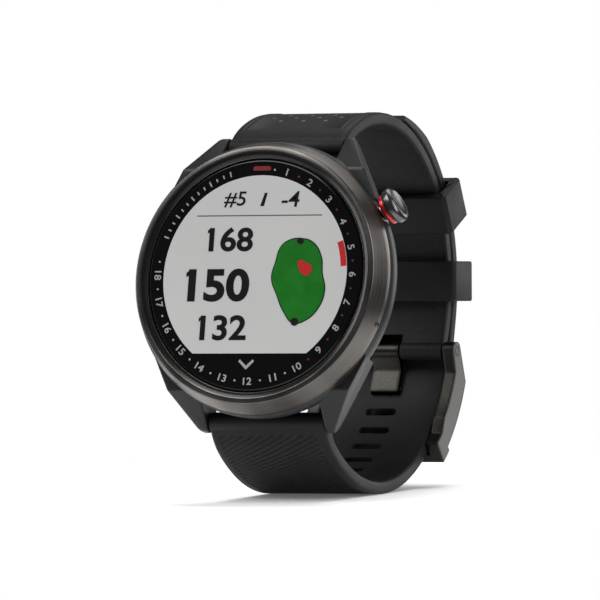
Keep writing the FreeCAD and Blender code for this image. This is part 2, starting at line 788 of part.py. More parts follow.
# round a lug bar from the wrist side to the front, then to the outer face
endAngles = ("-35", "-150", "120")
upper = newBody("upper")
padded(upper, "YZ_Plane", [
    aboutUpper(upperOut, "end_outer_angle") + (upperOut, -1),
    aboutUpper(upperOut, "-buckle_bar_angle"),
    aboutUpper(upperIn, "-buckle_bar_angle") + (upperIn, 1),
    aboutUpper(upperIn, "end_inner_angle"),
    barPoint("end_radius", endAngles[0], 1) + ("end_radius", -1),
    barPoint("end_radius", endAngles[1], 1) + ("end_radius", -1),
    barPoint("end_radius", endAngles[2], 1)], "strap_width")
upperKnuckle = rod("upper_knuckle", knuckleRadius, "strap_width",
                   ("-strap_width / 2", buckleBar[0], buckleBar[1]), sideways, 90)
upperBand = joined("upper_band", [upper, upperKnuckle])
tongueNotch = rod("tongue_notch", knuckleRadius + " + 1.2", "tongue_notch",
                  ("-tongue_notch / 2", buckleBar[0], buckleBar[1]), sideways, 90)
upperBarBore = rod("upper_bar_bore", "bar_tube_radius + fit_gap", "strap_width + 2 * overshoot",
                   barPlace(1, "-strap_width / 2 - overshoot"), sideways, 90)
buckleBarBore = rod("buckle_bar_bore", "buckle_bar_radius + fit_gap", "strap_width + 2 * overshoot",
                    ("-strap_width / 2 - overshoot", buckleBar[0], buckleBar[1]), sideways, 90)


def knobNotch(name, end):
    """Room on the wrist side for the quick-release knob to be slid."""
    low = "bar_height" if end > 0 else "-bar_height"
    left = "bar_knob_place - bar_pin_travel - bar_knob_radius * 2"
    return box(name, (left, barY, low + " - bar_knob_radius * 2"),
               ("bar_pin_travel + bar_knob_radius * 4", "bar_knob_reach + 3 * overshoot",
                "bar_knob_radius * 4"))


upperCuts = [tongueNotch, upperBarBore, buckleBarBore, knobNotch("upper_notch", 1)]
keep(cut("upper_cut", upperBand, upperCuts), "upper_strap")

lower = newBody("lower")
padded(lower, "YZ_Plane", [
    aboutLower(lowerOut, "-lower_outer_angle") + (lowerOut, 1),
    aboutLower(lowerOut, tangent),
    aboutUpper(tailOut, tangent) + (tailOut, 1),
    aboutUpper(tailOut, "tail_angle"),
    aboutUpper(tailIn, "tail_angle") + (tailIn, -1),
    aboutUpper(tailIn, tangent),
    aboutLower(lowerIn, tangent) + (lowerIn, -1),
    aboutLower(lowerIn, "-lower_inner_angle"),
    barPoint("end_radius", endAngles[0], -1) + ("end_radius", 1),
    barPoint("end_radius", endAngles[1], -1) + ("end_radius", 1),
    barPoint("end_radius", endAngles[2], -1)], "strap_width")
doc.recompute()


def tipEdges(shape):
    """The two short edges at the tail's end corners."""
    reach = value("strap_width / 2")
    found = []
    for number, edge in enumerate(shape.Edges, 1):
        middle = edge.CenterOfMass
        angle = math.degrees(math.atan2(middle.z - value("upper_centre"), middle.y))
        atTip = abs(angle - value("tail_angle")) < 0.5 and abs(abs(middle.x) - reach) < 0.01
        if atTip and middle.y > 0:
            found.append(number)
    return found


tip = rounded("tail_round", lower, tipEdges(lower.Shape), "tail_tip")
# adjustment holes march from the tongue's hole both ways: down the curve and up the tail
holes = []


def strapHole(name, centre, angle, radius):
    """A rounded slot right through the band at an angle about a curve's centre."""
    blank = doc.addObject("Part::Box", name + "_blank")
    blank.setExpression("Length", bound("hole_width"))
    blank.setExpression("Width", bound("strap_thickness * 3"))
    blank.setExpression("Height", bound("hole_length"))
    place(blank, ("-hole_width / 2", "(%s) - strap_thickness * 1.5" % radius, "-hole_length / 2"))
    slot = rounded(name, blank, (2, 4, 6, 8), "hole_length * 0.45")
    spot = doc.addObject("Part::Compound", name + "_spot")
    spot.Links = [slot]
    return place(spot, ("0", "0", centre), (1, 0, 0), angle)


for index in range(6):
    angle = "-tongue_hole_angle - %d * hole_pitch / lower_middle * 180 / pi" % index
    holes.append(strapHole("lower_hole_%d" % index, "-lower_centre", angle, "lower_middle"))
for index in range(7):
    angle = "%d * hole_pitch / (%s) * 180 / pi + tail_hole_start" % (index, tailMiddle)
    holes.append(strapHole("tail_hole_%d" % index, "upper_centre", angle, tailMiddle))
lowerBarBore = rod("lower_bar_bore", "bar_tube_radius + fit_gap", "strap_width + 2 * overshoot",
                   barPlace(-1, "-strap_width / 2 - overshoot"), sideways, 90)
keep(cut("lower_cut", tip, holes + [lowerBarBore, knobNotch("lower_notch", -1)]), "lower_strap")

# ---------------------------------------------------------------- spring bars

for end, name in ((1, "upper"), (-1, "lower")):
    tubeHalf = "strap_width / 2 - bar_tube_inset"
    tube = rod(name + "_tube", "bar_tube_radius", "2 * (%s)" % tubeHalf,
               barPlace(end, "-(%s)" % tubeHalf), sideways, 90)
    tubeBore = rod(name + "_tube_bore", "bar_tube_bore", "strap_width",
                   barPlace(end, "-strap_width / 2"), sideways, 90)
    low = "bar_height" if end > 0 else "-bar_height"
    slotStart = ("bar_knob_place - bar_pin_travel - bar_knob_radius - fit_gap * 2", barY,
                 low + " - bar_knob_radius - fit_gap")
    slotLengths = ("bar_pin_travel + 2 * bar_knob_radius + fit_gap * 4", "bar_tube_radius * 2",
                   "2 * bar_knob_radius + 2 * fit_gap")
    slideSlot = box(name + "_slide_slot", slotStart, slotLengths)
    keep(cut(name + "_tube_cut", tube, [tubeBore, slideSlot]), name + "_bar_tube")
    pinEnd = lugInner + " + bar_pin_engage"
    pinStart = pinEnd + " - bar_pin_length"
    fixedShank = rod(name + "_tip_shank", "bar_tube_bore", "bar_shank_length",
                     barPlace(end, "-(%s)" % tubeHalf), sideways, 90)
    fixedNose = rod(name + "_tip_nose", "bar_pin_radius", "(%s) - (%s) + 0.5" % (pinEnd, tubeHalf),
                    barPlace(end, "-(%s)" % pinEnd), sideways, 90)
    keep(joined(name + "_tip_whole", [fixedShank, fixedNose]), name + "_bar_fixed_tip")
    pin = rod(name + "_pin", "bar_pin_radius", "bar_pin_length", barPlace(end, pinStart), sideways, 90)
    knob = rod(name + "_knob", "bar_knob_radius", "bar_knob_reach",
               ("bar_knob_place", barY, low), backward, 90)
    keep(joined(name + "_pin_whole", [pin, knob]), name + "_bar_release_pin")
    spiral = coil(name + "_spiral", "bar_tube_bore - fit_gap - bar_spring_wire", "bar_spring_wire",
                  "bar_spring_length", "bar_spring_turns")
    springX = pinStart + " - bar_spring_length + bar_spring_wire"
    keep(place(spiral, barPlace(end, springX), sideways, 90), name + "_bar_spring")

# ---------------------------------------------------------------- buckle

armInner = "strap_width / 2 + buckle_side_gap"
crossbarIn = lowerOut + " + crossbar_gap"


def buckleBarPoint(radius, angle):
    """A point about the buckle's bar, at an angle from straight back."""
    return ("%s + (%s) * cos(%s)" % (buckleBar[0], radius, angle),
            "%s + (%s) * sin(%s)" % (buckleBar[1], radius, angle))


frameBody = newBody("frame_outline")
padded(frameBody, "YZ_Plane", [
    buckleBarPoint("buckle_eye_radius", "180") + ("buckle_eye_radius", -1),
    buckleBarPoint("buckle_eye_radius", "50"),
    aboutLower("buckle_arm_outer", "-buckle_start_angle") + ("buckle_arm_outer", -1),
    aboutLower("buckle_arm_outer", "-buckle_end_angle + crossbar_sweep"),
    aboutLower("crossbar_outer", "-buckle_end_angle + crossbar_sweep") + ("crossbar_outer", -1),
    aboutLower("crossbar_outer", "-buckle_end_angle"),
    aboutLower(crossbarIn, "-buckle_end_angle"),
    aboutLower("buckle_arm_inner + arm_step", "-buckle_end_angle") + ("buckle_arm_inner + arm_step", 1),
    aboutLower("buckle_arm_inner + arm_step", "-buckle_end_angle + crossbar_sweep"),
    aboutLower("buckle_arm_inner", "-buckle_end_angle + crossbar_sweep * 2") + ("buckle_arm_inner", 1),
    aboutLower("buckle_arm_inner", "-buckle_start_angle")], "2 * buckle_outer")
# between the arms only the crossbar is left, outside the strap
window = newBody("frame_window")
padded(window, "YZ_Plane", [
    ("buckle_arm_inner - window_depth", "window_top"),
    ("crossbar_outer + 2 * overshoot", "window_top"),
    aboutLower("crossbar_outer + 2 * overshoot", "-buckle_end_angle + crossbar_sweep"),
    aboutLower(crossbarIn, "-buckle_end_angle + crossbar_sweep") + (crossbarIn, -1),
    aboutLower(crossbarIn, "-buckle_end_angle - notch_margin"),
    aboutLower("buckle_arm_inner - window_depth", "-buckle_end_angle - notch_margin")], "2 * (%s)" % armInner)
tipNotch = newBody("tip_notch")
padded(tipNotch, "YZ_Plane", [
    aboutLower("tongue_rest - fit_gap", "-buckle_end_angle + crossbar_sweep + notch_margin") +
    ("tongue_rest - fit_gap", -1),
    aboutLower("tongue_rest - fit_gap", "-buckle_end_angle - notch_margin"),
    aboutLower("crossbar_outer + 2 * overshoot", "-buckle_end_angle - notch_margin"),
    aboutLower("crossbar_outer + 2 * overshoot", "-buckle_end_angle + crossbar_sweep + notch_margin")],
    "tongue_notch")
frameBore = rod("frame_bore", "buckle_bar_radius", "2 * buckle_outer",
                ("-buckle_outer", buckleBar[0], buckleBar[1]), sideways, 90)
keep(cut("frame_all", frameBody, [window, tipNotch, frameBore]), "buckle_frame")
keep(rod("bar_rod", "buckle_bar_radius", "2 * buckle_outer",
         ("-buckle_outer", buckleBar[0], buckleBar[1]), sideways, 90), "buckle_bar")

# the tongue: an eye on the bar, a run inside the strap, a step out through its hole, a run to the crossbar
tongueEye = "buckle_bar_radius + fit_gap + tongue_eye_wall"
innerRun = lowerIn + " - tongue_gap"
holeHalf = "tongue_thickness / 2 / lower_middle * 180 / pi"
nearSide = "-tongue_hole_angle + " + holeHalf
farSide = "-tongue_hole_angle - " + holeHalf
outerRun = lowerOut + " + tongue_gap"
tongue = newBody("tongue_outline")
padded(tongue, "YZ_Plane", [
    buckleBarPoint(tongueEye, "-tongue_eye_leave"),
    aboutLower(innerRun, "-tongue_run_start"),
    aboutLower(innerRun, nearSide),
    aboutLower(outerRun + " + tongue_thickness", nearSide),
    aboutLower("tongue_rest + tongue_thickness", "-buckle_end_angle + crossbar_sweep + 4") +
    ("tongue_rest + tongue_thickness", -1),
    aboutLower("tongue_rest + tongue_thickness", "-buckle_end_angle + 1"),
    aboutLower("tongue_rest", "-buckle_end_angle") + ("tongue_rest", 1),
    aboutLower("tongue_rest", "-buckle_end_angle + crossbar_sweep + 4"),
    aboutLower(outerRun, farSide),
    aboutLower(innerRun + " - tongue_thickness", farSide),
    aboutLower(innerRun + " - tongue_thickness", "-tongue_run_start"),
    buckleBarPoint(tongueEye, "-tongue_eye_return")], "tongue_width")
eyeStart = ("-tongue_width / 2", buckleBar[0], buckleBar[1])
eye = rod("tongue_eye", tongueEye, "tongue_width", eyeStart, sideways, 90)
eyeBore = rod("tongue_bore", "buckle_bar_radius + fit_gap", "tongue_width + 2 * overshoot",
              ("-tongue_width / 2 - overshoot", buckleBar[0], buckleBar[1]), sideways, 90)
keep(cut("tongue_cut", joined("tongue_whole", [tongue, eye]), [eyeBore]), "buckle_tongue")

# ---------------------------------------------------------------- keepers


def keeper(label, angle, length):
    """A square loop about both layers of the strap, made along +Y and then swung round."""
    # the flat window stands back from the curved strap by the bow of the arc along it
    bow = "((%s) - sqrt((%s)^2 - (%s)^2 / 4))" % (upperIn, upperIn, length)
    inner = "%s - %s - keeper_gap" % (upperIn, bow)
    outer = tailOut + " + keeper_gap"
    block = doc.addObject("Part::Box", label + "_block")
    block.setExpression("Length", bound("2 * keeper_outer"))
    block.setExpression("Width", bound("(%s) - (%s) + 2 * keeper_wall" % (outer, inner)))
    block.setExpression("Height", bound(length))
    place(block, ("-keeper_outer", "(%s) - keeper_wall" % inner, "-(%s) / 2" % length))
    smooth = rounded(label + "_round", block, (1, 3, 5, 7), "keeper_corner")
    opening = box(label + "_window", ("-strap_width / 2 - keeper_gap", inner, "-(%s)" % length),
                  ("strap_width + 2 * keeper_gap", "(%s) - (%s)" % (outer, inner), "2 * (%s)" % length))
    loop = cut(label + "_loop", smooth, [opening])
    return keep(place(loop, ("0", "0", "upper_centre"), (1, 0, 0), angle), label)


keeper("fixed_keeper", "fixed_keeper_angle", "fixed_keeper_length")
keeper("free_keeper", "free_keeper_angle", "free_keeper_length")

# ---------------------------------------------------------------- check and write

doc.recompute()
for thing in doc.Objects:
    if "Invalid" in thing.State or "Error" in thing.State:
        raise RuntimeError("%s did not rebuild: %s" % (thing.Name, thing.State))
os.makedirs("parts", exist_ok=True)
for thing in parts:
    shape = thing.Shape
    if shape.isNull() or not shape.isValid() or shape.Volume <= 0:
        raise RuntimeError("%s has no sound solid" % thing.Label)
    shape.exportStep("parts/%s.step" % thing.Label)
    print("%-24s %2d solids %9.2f mm3" % (thing.Label, len(shape.Solids), shape.Volume))
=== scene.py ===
import bmesh
import bpy
import math
from mathutils import Matrix, Vector


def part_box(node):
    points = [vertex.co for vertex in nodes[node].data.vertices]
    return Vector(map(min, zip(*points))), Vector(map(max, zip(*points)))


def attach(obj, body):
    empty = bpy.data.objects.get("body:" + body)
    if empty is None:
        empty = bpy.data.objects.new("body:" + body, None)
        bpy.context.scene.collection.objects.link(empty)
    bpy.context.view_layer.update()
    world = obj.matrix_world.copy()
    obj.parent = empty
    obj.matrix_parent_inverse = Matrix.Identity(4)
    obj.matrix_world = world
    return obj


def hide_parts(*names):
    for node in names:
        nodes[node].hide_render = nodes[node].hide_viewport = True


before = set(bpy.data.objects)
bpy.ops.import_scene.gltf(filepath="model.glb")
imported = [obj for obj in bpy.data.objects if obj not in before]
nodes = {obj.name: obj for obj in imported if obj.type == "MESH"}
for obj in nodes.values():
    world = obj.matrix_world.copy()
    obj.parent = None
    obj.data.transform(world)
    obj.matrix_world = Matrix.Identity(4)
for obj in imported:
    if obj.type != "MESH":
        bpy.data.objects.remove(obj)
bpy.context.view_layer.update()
mm = 0.001
# The watch head faces -Y, 12 o'clock is +Z. Lengths in the dictionaries are millimetres.


def low(node):
    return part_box(node)[0] / mm


def high(node):
    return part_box(node)[1] / mm


glassY = low("lens").y
strapHalf = high("upper_strap").x


# ------ materials

def newMaterial(name, look):
    made = bpy.data.materials.new(name)
    made.use_nodes = True
    shader = made.node_tree.nodes["Principled BSDF"]
    shader.inputs["Metallic"].default_value = look.get("metal", 0.0)
    shader.inputs["Coat Weight"].default_value = look.get("coat", 0.0)
    shader.inputs["Coat Roughness"].default_value = look.get("coatRough", 0.05)
    shader.inputs["Specular IOR Level"].default_value = look.get("specular", 0.5)
    shader.inputs["Sheen Weight"].default_value = look.get("sheen", 0.0)
    shader.inputs["Anisotropic"].default_value = look.get("brushed", 0.0)
    shader.inputs["Emission Color"].default_value = (0.98, 0.98, 0.97, 1)
    # a look's glow makes the surface give light of its own though it is no lamp: painted light
    shader.inputs["Emission Strength"].default_value = look.get("paintedGlow", 0.0)
    return made, shader, made.node_tree.nodes, made.node_tree.links


def noiseAt(treeNodes, links, source, scale, detail=3.0):
    noise = treeNodes.new("ShaderNodeTexNoise")
    noise.inputs["Scale"].default_value = scale
    noise.inputs["Detail"].default_value = detail
    links.new(source, noise.inputs["Vector"])
    return noise.outputs["Fac"]


def spread(treeNodes, links, source, least, most, start=0.3, end=0.7):
    remap = treeNodes.new("ShaderNodeMapRange")
    for socket, number in zip(("From Min", "From Max", "To Min", "To Max"), (start, end, least, most)):
        remap.inputs[socket].default_value = number
    links.new(source, remap.inputs["Value"])
    return remap.outputs["Result"]


def blended(treeNodes, links, factor, first, second):
    mix = treeNodes.new("ShaderNodeMix")
    mix.data_type = "RGBA"
    for socket, color in ((mix.inputs[6], first), (mix.inputs[7], second)):
        if isinstance(color, tuple):
            socket.default_value = (*color, 1)
        else:
            links.new(color, socket)
    links.new(factor, mix.inputs[0])
    return mix.outputs[2]


def bumped(treeNodes, links, shader, height, depth, edge=0.0):
    bump = treeNodes.new("ShaderNodeBump")
    bump.inputs["Distance"].default_value = depth * mm
    bump.inputs["Strength"].default_value = 1.0
    links.new(height, bump.inputs["Height"])
    if edge:
        soft = treeNodes.new("ShaderNodeBevel")
        soft.samples = 4
        soft.inputs["Radius"].default_value = edge * mm
        links.new(soft.outputs["Normal"], bump.inputs["Normal"])
    links.new(bump.outputs["Normal"], shader.inputs["Normal"])


def moulded(name, look):
    # a mottled finish: two shades, uneven gloss and a fine grain, all on object coordinates
    made, shader, treeNodes, links = newMaterial(name, look)
    coords = treeNodes.new("ShaderNodeTexCoord").outputs["Object"]
    cloud = spread(treeNodes, links, noiseAt(treeNodes, links, coords, look.get("cloud", 120)), 0, 1)
    tint = blended(treeNodes, links, cloud, look["dark"], look["light"])
    fine = noiseAt(treeNodes, links, coords, look.get("grain", 9000), 2.0)
    speck = spread(treeNodes, links, fine, 0, look.get("speck", 0.25), 0.55, 0.75)
    links.new(blended(treeNodes, links, speck, tint, look.get("fleck", look["light"])), shader.inputs["Base Color"])
    rough = look["rough"]
    links.new(spread(treeNodes, links, cloud, rough * 0.88, rough * 1.12, 0, 1), shader.inputs["Roughness"])
    bumped(treeNodes, links, shader, fine, look.get("grainDepth", 0.01), look.get("edge", 0.0))
    return made


def brushedRound(name, look):
    # metal with fine circular brushing about the dial's axis, and broad lighter and darker sectors painted into its
    # colour by angle: painted highlight and shade, standing in for the sheen that brushed metal throws in sectors
    made, shader, treeNodes, links = newMaterial(name, look)
    coords = treeNodes.new("ShaderNodeTexCoord").outputs["Object"]
    apart = treeNodes.new("ShaderNodeSeparateXYZ")
    links.new(coords, apart.inputs[0])
    across = treeNodes.new("ShaderNodeCombineXYZ")
    links.new(apart.outputs[0], across.inputs[0])
    links.new(apart.outputs[2], across.inputs[2])
    reach = treeNodes.new("ShaderNodeVectorMath")
    reach.operation = "LENGTH"
    links.new(across.outputs[0], reach.inputs[0])
    heading = treeNodes.new("ShaderNodeVectorMath")
    heading.operation = "NORMALIZE"
    links.new(across.outputs[0], heading.inputs[0])
    lines = treeNodes.new("ShaderNodeCombineXYZ")
    links.new(reach.outputs["Value"], lines.inputs[0])
    links.new(apart.outputs[1], lines.inputs[1])
    hair = noiseAt(treeNodes, links, lines.outputs[0], look["hair"], 4.0)
    # painted sheen: lighter and darker sectors by angle round the axis, put into the base colour
    sheenPaint = spread(treeNodes, links, noiseAt(treeNodes, links, heading.outputs[0], look["paintedSectorSheen"], 1.5), 0, 1, 0.38, 0.62)
    tint = blended(treeNodes, links, sheenPaint, look["dark"], look["light"])
    streak = spread(treeNodes, links, hair, 0, look["streak"], 0.35, 0.7)
    links.new(blended(treeNodes, links, streak, tint, look["fleck"]), shader.inputs["Base Color"])
    links.new(spread(treeNodes, links, hair, look["rough"] * 0.8, look["rough"] * 1.25), shader.inputs["Roughness"])
    bumped(treeNodes, links, shader, hair, look.get("grainDepth", 0.004), look.get("edge", 0.0))
    return made


looks = {
    "silicone": {"dark": (0.0085, 0.0085, 0.009), "light": (0.0125, 0.0125, 0.013), "fleck": (0.03, 0.03, 0.03),
                 "rough": 0.52, "speck": 0.3, "grain": 7000, "grainDepth": 0.01, "specular": 0.2},
    "siliconeUpper": {"dark": (0.009, 0.0088, 0.0085), "light": (0.0135, 0.013, 0.0125), "fleck": (0.045, 0.043, 0.041),
                      "rough": 0.54, "speck": 0.45, "grain": 4200, "grainDepth": 0.015, "specular": 0.2},
    # light grey for the strap's dimple hollows: painted highlight, light caught in them drawn as colour
    "paintedDimpleLight": {"dark": (0.2, 0.2, 0.2), "light": (0.3, 0.3, 0.3), "rough": 0.5},
    "case": {"dark": (0.011, 0.0115, 0.012), "light": (0.017, 0.0175, 0.018), "specular": 0.35, "rough": 0.4, "grain": 6000,
             "grainDepth": 0.006, "edge": 0.18, "fleck": (0.05, 0.05, 0.05)},
    # the sectors number is the scale of the lighter and darker sectors painted round the axis: painted sheen
    "gunmetal": {"dark": (0.058, 0.053, 0.049), "light": (0.155, 0.143, 0.132), "fleck": (0.21, 0.195, 0.182), "rough": 0.33,
                 "metal": 1.0, "hair": 9000, "paintedSectorSheen": 2.1, "streak": 0.35, "brushed": 0.5},
    "lipBlack": {"dark": (0.006, 0.006, 0.006), "light": (0.012, 0.011, 0.011), "fleck": (0.05, 0.05, 0.05), "rough": 0.25,
                 "metal": 0.4, "hair": 9000, "paintedSectorSheen": 2.0, "streak": 0.2},
    "glassBlack": {"dark": (0.002, 0.002, 0.002), "light": (0.003, 0.003, 0.0032), "rough": 0.12, "coat": 0.3,
                   "coatRough": 0.04, "specular": 0.15, "grain": 3000, "grainDepth": 0.0, "speck": 0.05},
    # the display gets a little glow so it stays evenly light grey: painted light, the display lit by itself and not by
    # the lamps
    "screen": {"paintedGlow": 0.22, "dark": (0.345, 0.343, 0.336), "light": (0.372, 0.37, 0.362), "rough": 0.4, "specular": 0.2, "coat": 0.15,
               "cloud": 60, "grain": 14000, "speck": 0.3, "fleck": (0.41, 0.41, 0.4), "grainDepth": 0.0},
    "ink": {"dark": (0.004, 0.004, 0.004), "light": (0.008, 0.008, 0.008), "rough": 0.35, "specular": 0.2, "grainDepth": 0.0},
    "greyLine": {"dark": (0.1, 0.1, 0.1), "light": (0.13, 0.13, 0.13), "rough": 0.4, "specular": 0.2, "grainDepth": 0.0},
    "numeral": {"dark": (0.34, 0.34, 0.34), "light": (0.42, 0.42, 0.42), "rough": 0.35, "grainDepth": 0.0},
    "softRed": {"dark": (0.16, 0.01, 0.012), "light": (0.24, 0.015, 0.018), "rough": 0.35, "grainDepth": 0.0},
    "brightRed": {"dark": (0.5, 0.008, 0.01), "light": (0.62, 0.014, 0.016), "rough": 0.35, "grainDepth": 0.0},
    "green": {"dark": (0.006, 0.15, 0.008), "light": (0.008, 0.19, 0.011), "rough": 0.4, "specular": 0.2, "grainDepth": 0.0,
              "cloud": 400},
    "chrome": {"dark": (0.09, 0.088, 0.088), "light": (0.17, 0.168, 0.168), "rough": 0.26, "metal": 1.0, "edge": 0.15,
               "grain": 5000, "grainDepth": 0.003, "fleck": (0.4, 0.4, 0.4)},
    "redAlloy": {"dark": (0.5, 0.012, 0.014), "light": (0.68, 0.022, 0.02), "rough": 0.3, "metal": 0.75, "coat": 0.4,
                 "edge": 0.1, "grain": 5000, "grainDepth": 0.003, "fleck": (0.8, 0.08, 0.06)},
    "buckleMetal": {"dark": (0.026, 0.025, 0.022), "light": (0.047, 0.045, 0.04), "rough": 0.34, "metal": 1.0, "edge": 0.6,
                    "grain": 6000, "grainDepth": 0.006, "fleck": (0.2, 0.19, 0.18)},
    "steel": {"dark": (0.4, 0.4, 0.4), "light": (0.52, 0.52, 0.52), "rough": 0.28, "metal": 1.0, "edge": 0.08,
              "grainDepth": 0.004, "fleck": (0.6, 0.6, 0.6)},
    "backPlastic": {"dark": (0.014, 0.014, 0.015), "light": (0.022, 0.022, 0.023), "rough": 0.34, "edge": 0.12,
                    "grain": 5000, "grainDepth": 0.006, "fleck": (0.04, 0.04, 0.04)},
    "goldPlate": {"dark": (0.62, 0.42, 0.15), "light": (0.75, 0.53, 0.22), "rough": 0.25, "metal": 1.0, "edge": 0.06,
                  "grainDepth": 0.003},
    "rubberSeal": {"dark": (0.02, 0.02, 0.02), "light": (0.03, 0.03, 0.03), "rough": 0.7},
    "boardGreen": {"dark": (0.01, 0.08, 0.035), "light": (0.015, 0.11, 0.05), "rough": 0.4, "fleck": (0.3, 0.25, 0.1)},
    "cellFoil": {"dark": (0.3, 0.31, 0.33), "light": (0.4, 0.41, 0.43), "rough": 0.35, "metal": 0.6, "grainDepth": 0.02},
    "amberFlex": {"dark": (0.3, 0.12, 0.02), "light": (0.38, 0.16, 0.03), "rough": 0.4, "coat": 0.3},
    "paleLayer": {"dark": (0.5, 0.5, 0.5), "light": (0.6, 0.6, 0.6), "rough": 0.4},
    "framePlastic": {"dark": (0.05, 0.05, 0.05), "light": (0.07, 0.07, 0.07), "rough": 0.5},
}
roundOnes = ("gunmetal", "lipBlack")
finishes = {name: (brushedRound if name in roundOnes else moulded)(name, look) for name, look in looks.items()}
print("materials made:", len(finishes))


# ------ making and fitting pieces

def settle(piece, body, finish, replaced=(), crease=32, more=()):
    mesh = piece.data
    mesh.shade_smooth()
    mesh.set_sharp_from_angle(angle=math.radians(crease))
    if not mesh.materials:
        for name in (finish, *more):
            mesh.materials.append(finishes[name])
    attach(piece, body)
    if replaced:
        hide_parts(*replaced)
    return piece


def asObject(bm, name, tidyNormals=True):
    # millimetres in the bmesh, metres in the object
    bmesh.ops.remove_doubles(bm, verts=bm.verts, dist=0.0004)
    if tidyNormals:
        bmesh.ops.recalc_face_normals(bm, faces=bm.faces)
    bmesh.ops.scale(bm, vec=Vector((mm, mm, mm)), verts=bm.verts)
    mesh = bpy.data.meshes.new(name)
    bm.to_mesh(mesh)
    bm.free()
    piece = bpy.data.objects.new(name, mesh)
    bpy.context.scene.collection.objects.link(piece)
    return piece


def baked(piece):
    # applies the piece's modifiers
    depsgraph = bpy.context.evaluated_depsgraph_get()
    mesh = bpy.data.meshes.new_from_object(piece.evaluated_get(depsgraph))
    piece.modifiers.clear()
    piece.data = mesh
    return piece


def cutWith(piece, cutter, operation="DIFFERENCE"):
    step = piece.modifiers.new("cut", "BOOLEAN")
    step.object = cutter
    step.operation = operation
    step.solver = "EXACT"
    baked(piece)
    bpy.data.objects.remove(cutter)
    return piece


def section(corners, segments=4):
    # a face in the XY plane, its corners rounded by their third number
    bm = bmesh.new()
    points = [bm.verts.new((x, y, 0)) for x, y, _ in corners]
    bm.faces.new(points)
    for rounding in sorted({corner[2] for corner in corners if corner[2]}):
        chosen = [point for point, corner in zip(points, corners) if corner[2] == rounding]
        bmesh.ops.bevel(bm, geom=chosen, affect="VERTICES", offset=rounding, segments=segments, profile=0.5, material=-1)
    return bm


def turned(corners, steps=192, segments=4):
    # a ring or disc about the dial's axis: (radius, depth behind the glass front, rounding)
    bm = section([(radius, glassY + depth, rounding) for radius, depth, rounding in corners], segments)
    bmesh.ops.delete(bm, geom=bm.faces[:], context="FACES_ONLY")
    axisEdges = [edge for edge in bm.edges if all(abs(vert.co.x) < 1e-6 for vert in edge.verts)]
    bmesh.ops.delete(bm, geom=axisEdges, context="EDGES")
    bmesh.ops.spin(bm, geom=bm.verts[:] + bm.edges[:], cent=(0, 0, 0), axis=(0, 1, 0), dvec=(0, 0, 0),
                   angle=math.tau, steps=steps, use_merge=True, use_duplicate=False)
    return bm


def onRadius(bm, angle, depth):
    # moves something made along +Y at the origin to point outwards at an angle clockwise from 12 o'clock
    heading = math.radians(angle)
    outward = Vector((math.sin(heading), 0, math.cos(heading)))
    side = Vector((math.cos(heading), 0, -math.sin(heading)))
    turn = Matrix((side, outward, side.cross(outward))).transposed().to_4x4()
    bmesh.ops.transform(bm, matrix=Matrix.Translation((0, glassY + depth, 0)) @ turn, verts=bm.verts)
    return bm


# ------ glass, display and dial markings

dial = {"displayRadius": 15.8, "displayFlat": -12.4, "numeralRadius": 16.79, "numeralHeight": 1.15, "proud": 0.03}
lensRadius = high("lens").x
glass = settle(asObject(turned([
    (0, 0, 0), (lensRadius - 0.3, 0, 0.12), (lensRadius, 0.25, 0.08), (lensRadius, 1.2, 0), (0, 1.2, 0)]),
    "glassFace"), "watch", "glassBlack", ("lens",))


def faceUp(bm, thickness):
    # lifts flat faces drawn in XZ, at y 0, into closed plates just proud of the glass
    bmesh.ops.recalc_face_normals(bm, faces=bm.faces)
    grown = bmesh.ops.extrude_face_region(bm, geom=bm.faces[:], use_keep_orig=True)
    fresh = [item for item in grown["geom"] if isinstance(item, bmesh.types.BMVert)]
    bmesh.ops.translate(bm, vec=Vector((0, -thickness, 0)), verts=fresh)
    bmesh.ops.translate(bm, vec=Vector((0, glassY, 0)), verts=bm.verts)
    return bm


def plate(name, points, finish, thickness, smooth=0):
    bm = bmesh.new()
    corners = [bm.verts.new((x, 0, z)) for x, z in points]
    bm.faces.new(corners)
    if smooth:
        bmesh.ops.bevel(bm, geom=corners, affect="VERTICES", offset=smooth, segments=5, profile=0.5, material=-1)
    return settle(asObject(faceUp(bm, thickness), name), "watch", finish, crease=40)


screenBm = bmesh.new()
bmesh.ops.create_circle(screenBm, cap_ends=True, segments=160, radius=dial["displayRadius"])
bmesh.ops.rotate(screenBm, cent=(0, 0, 0), matrix=Matrix.Rotation(math.radians(90), 3, "X"), verts=screenBm.verts)
bmesh.ops.bisect_plane(screenBm, geom=screenBm.verts[:] + screenBm.edges[:] + screenBm.faces[:], dist=0.001,
                       plane_co=(0, 0, dial["displayFlat"]), plane_no=(0, 0, -1), clear_outer=True)
settle(asObject(faceUp(screenBm, dial["proud"]), "displayFace"), "watch", "screen", crease=40)


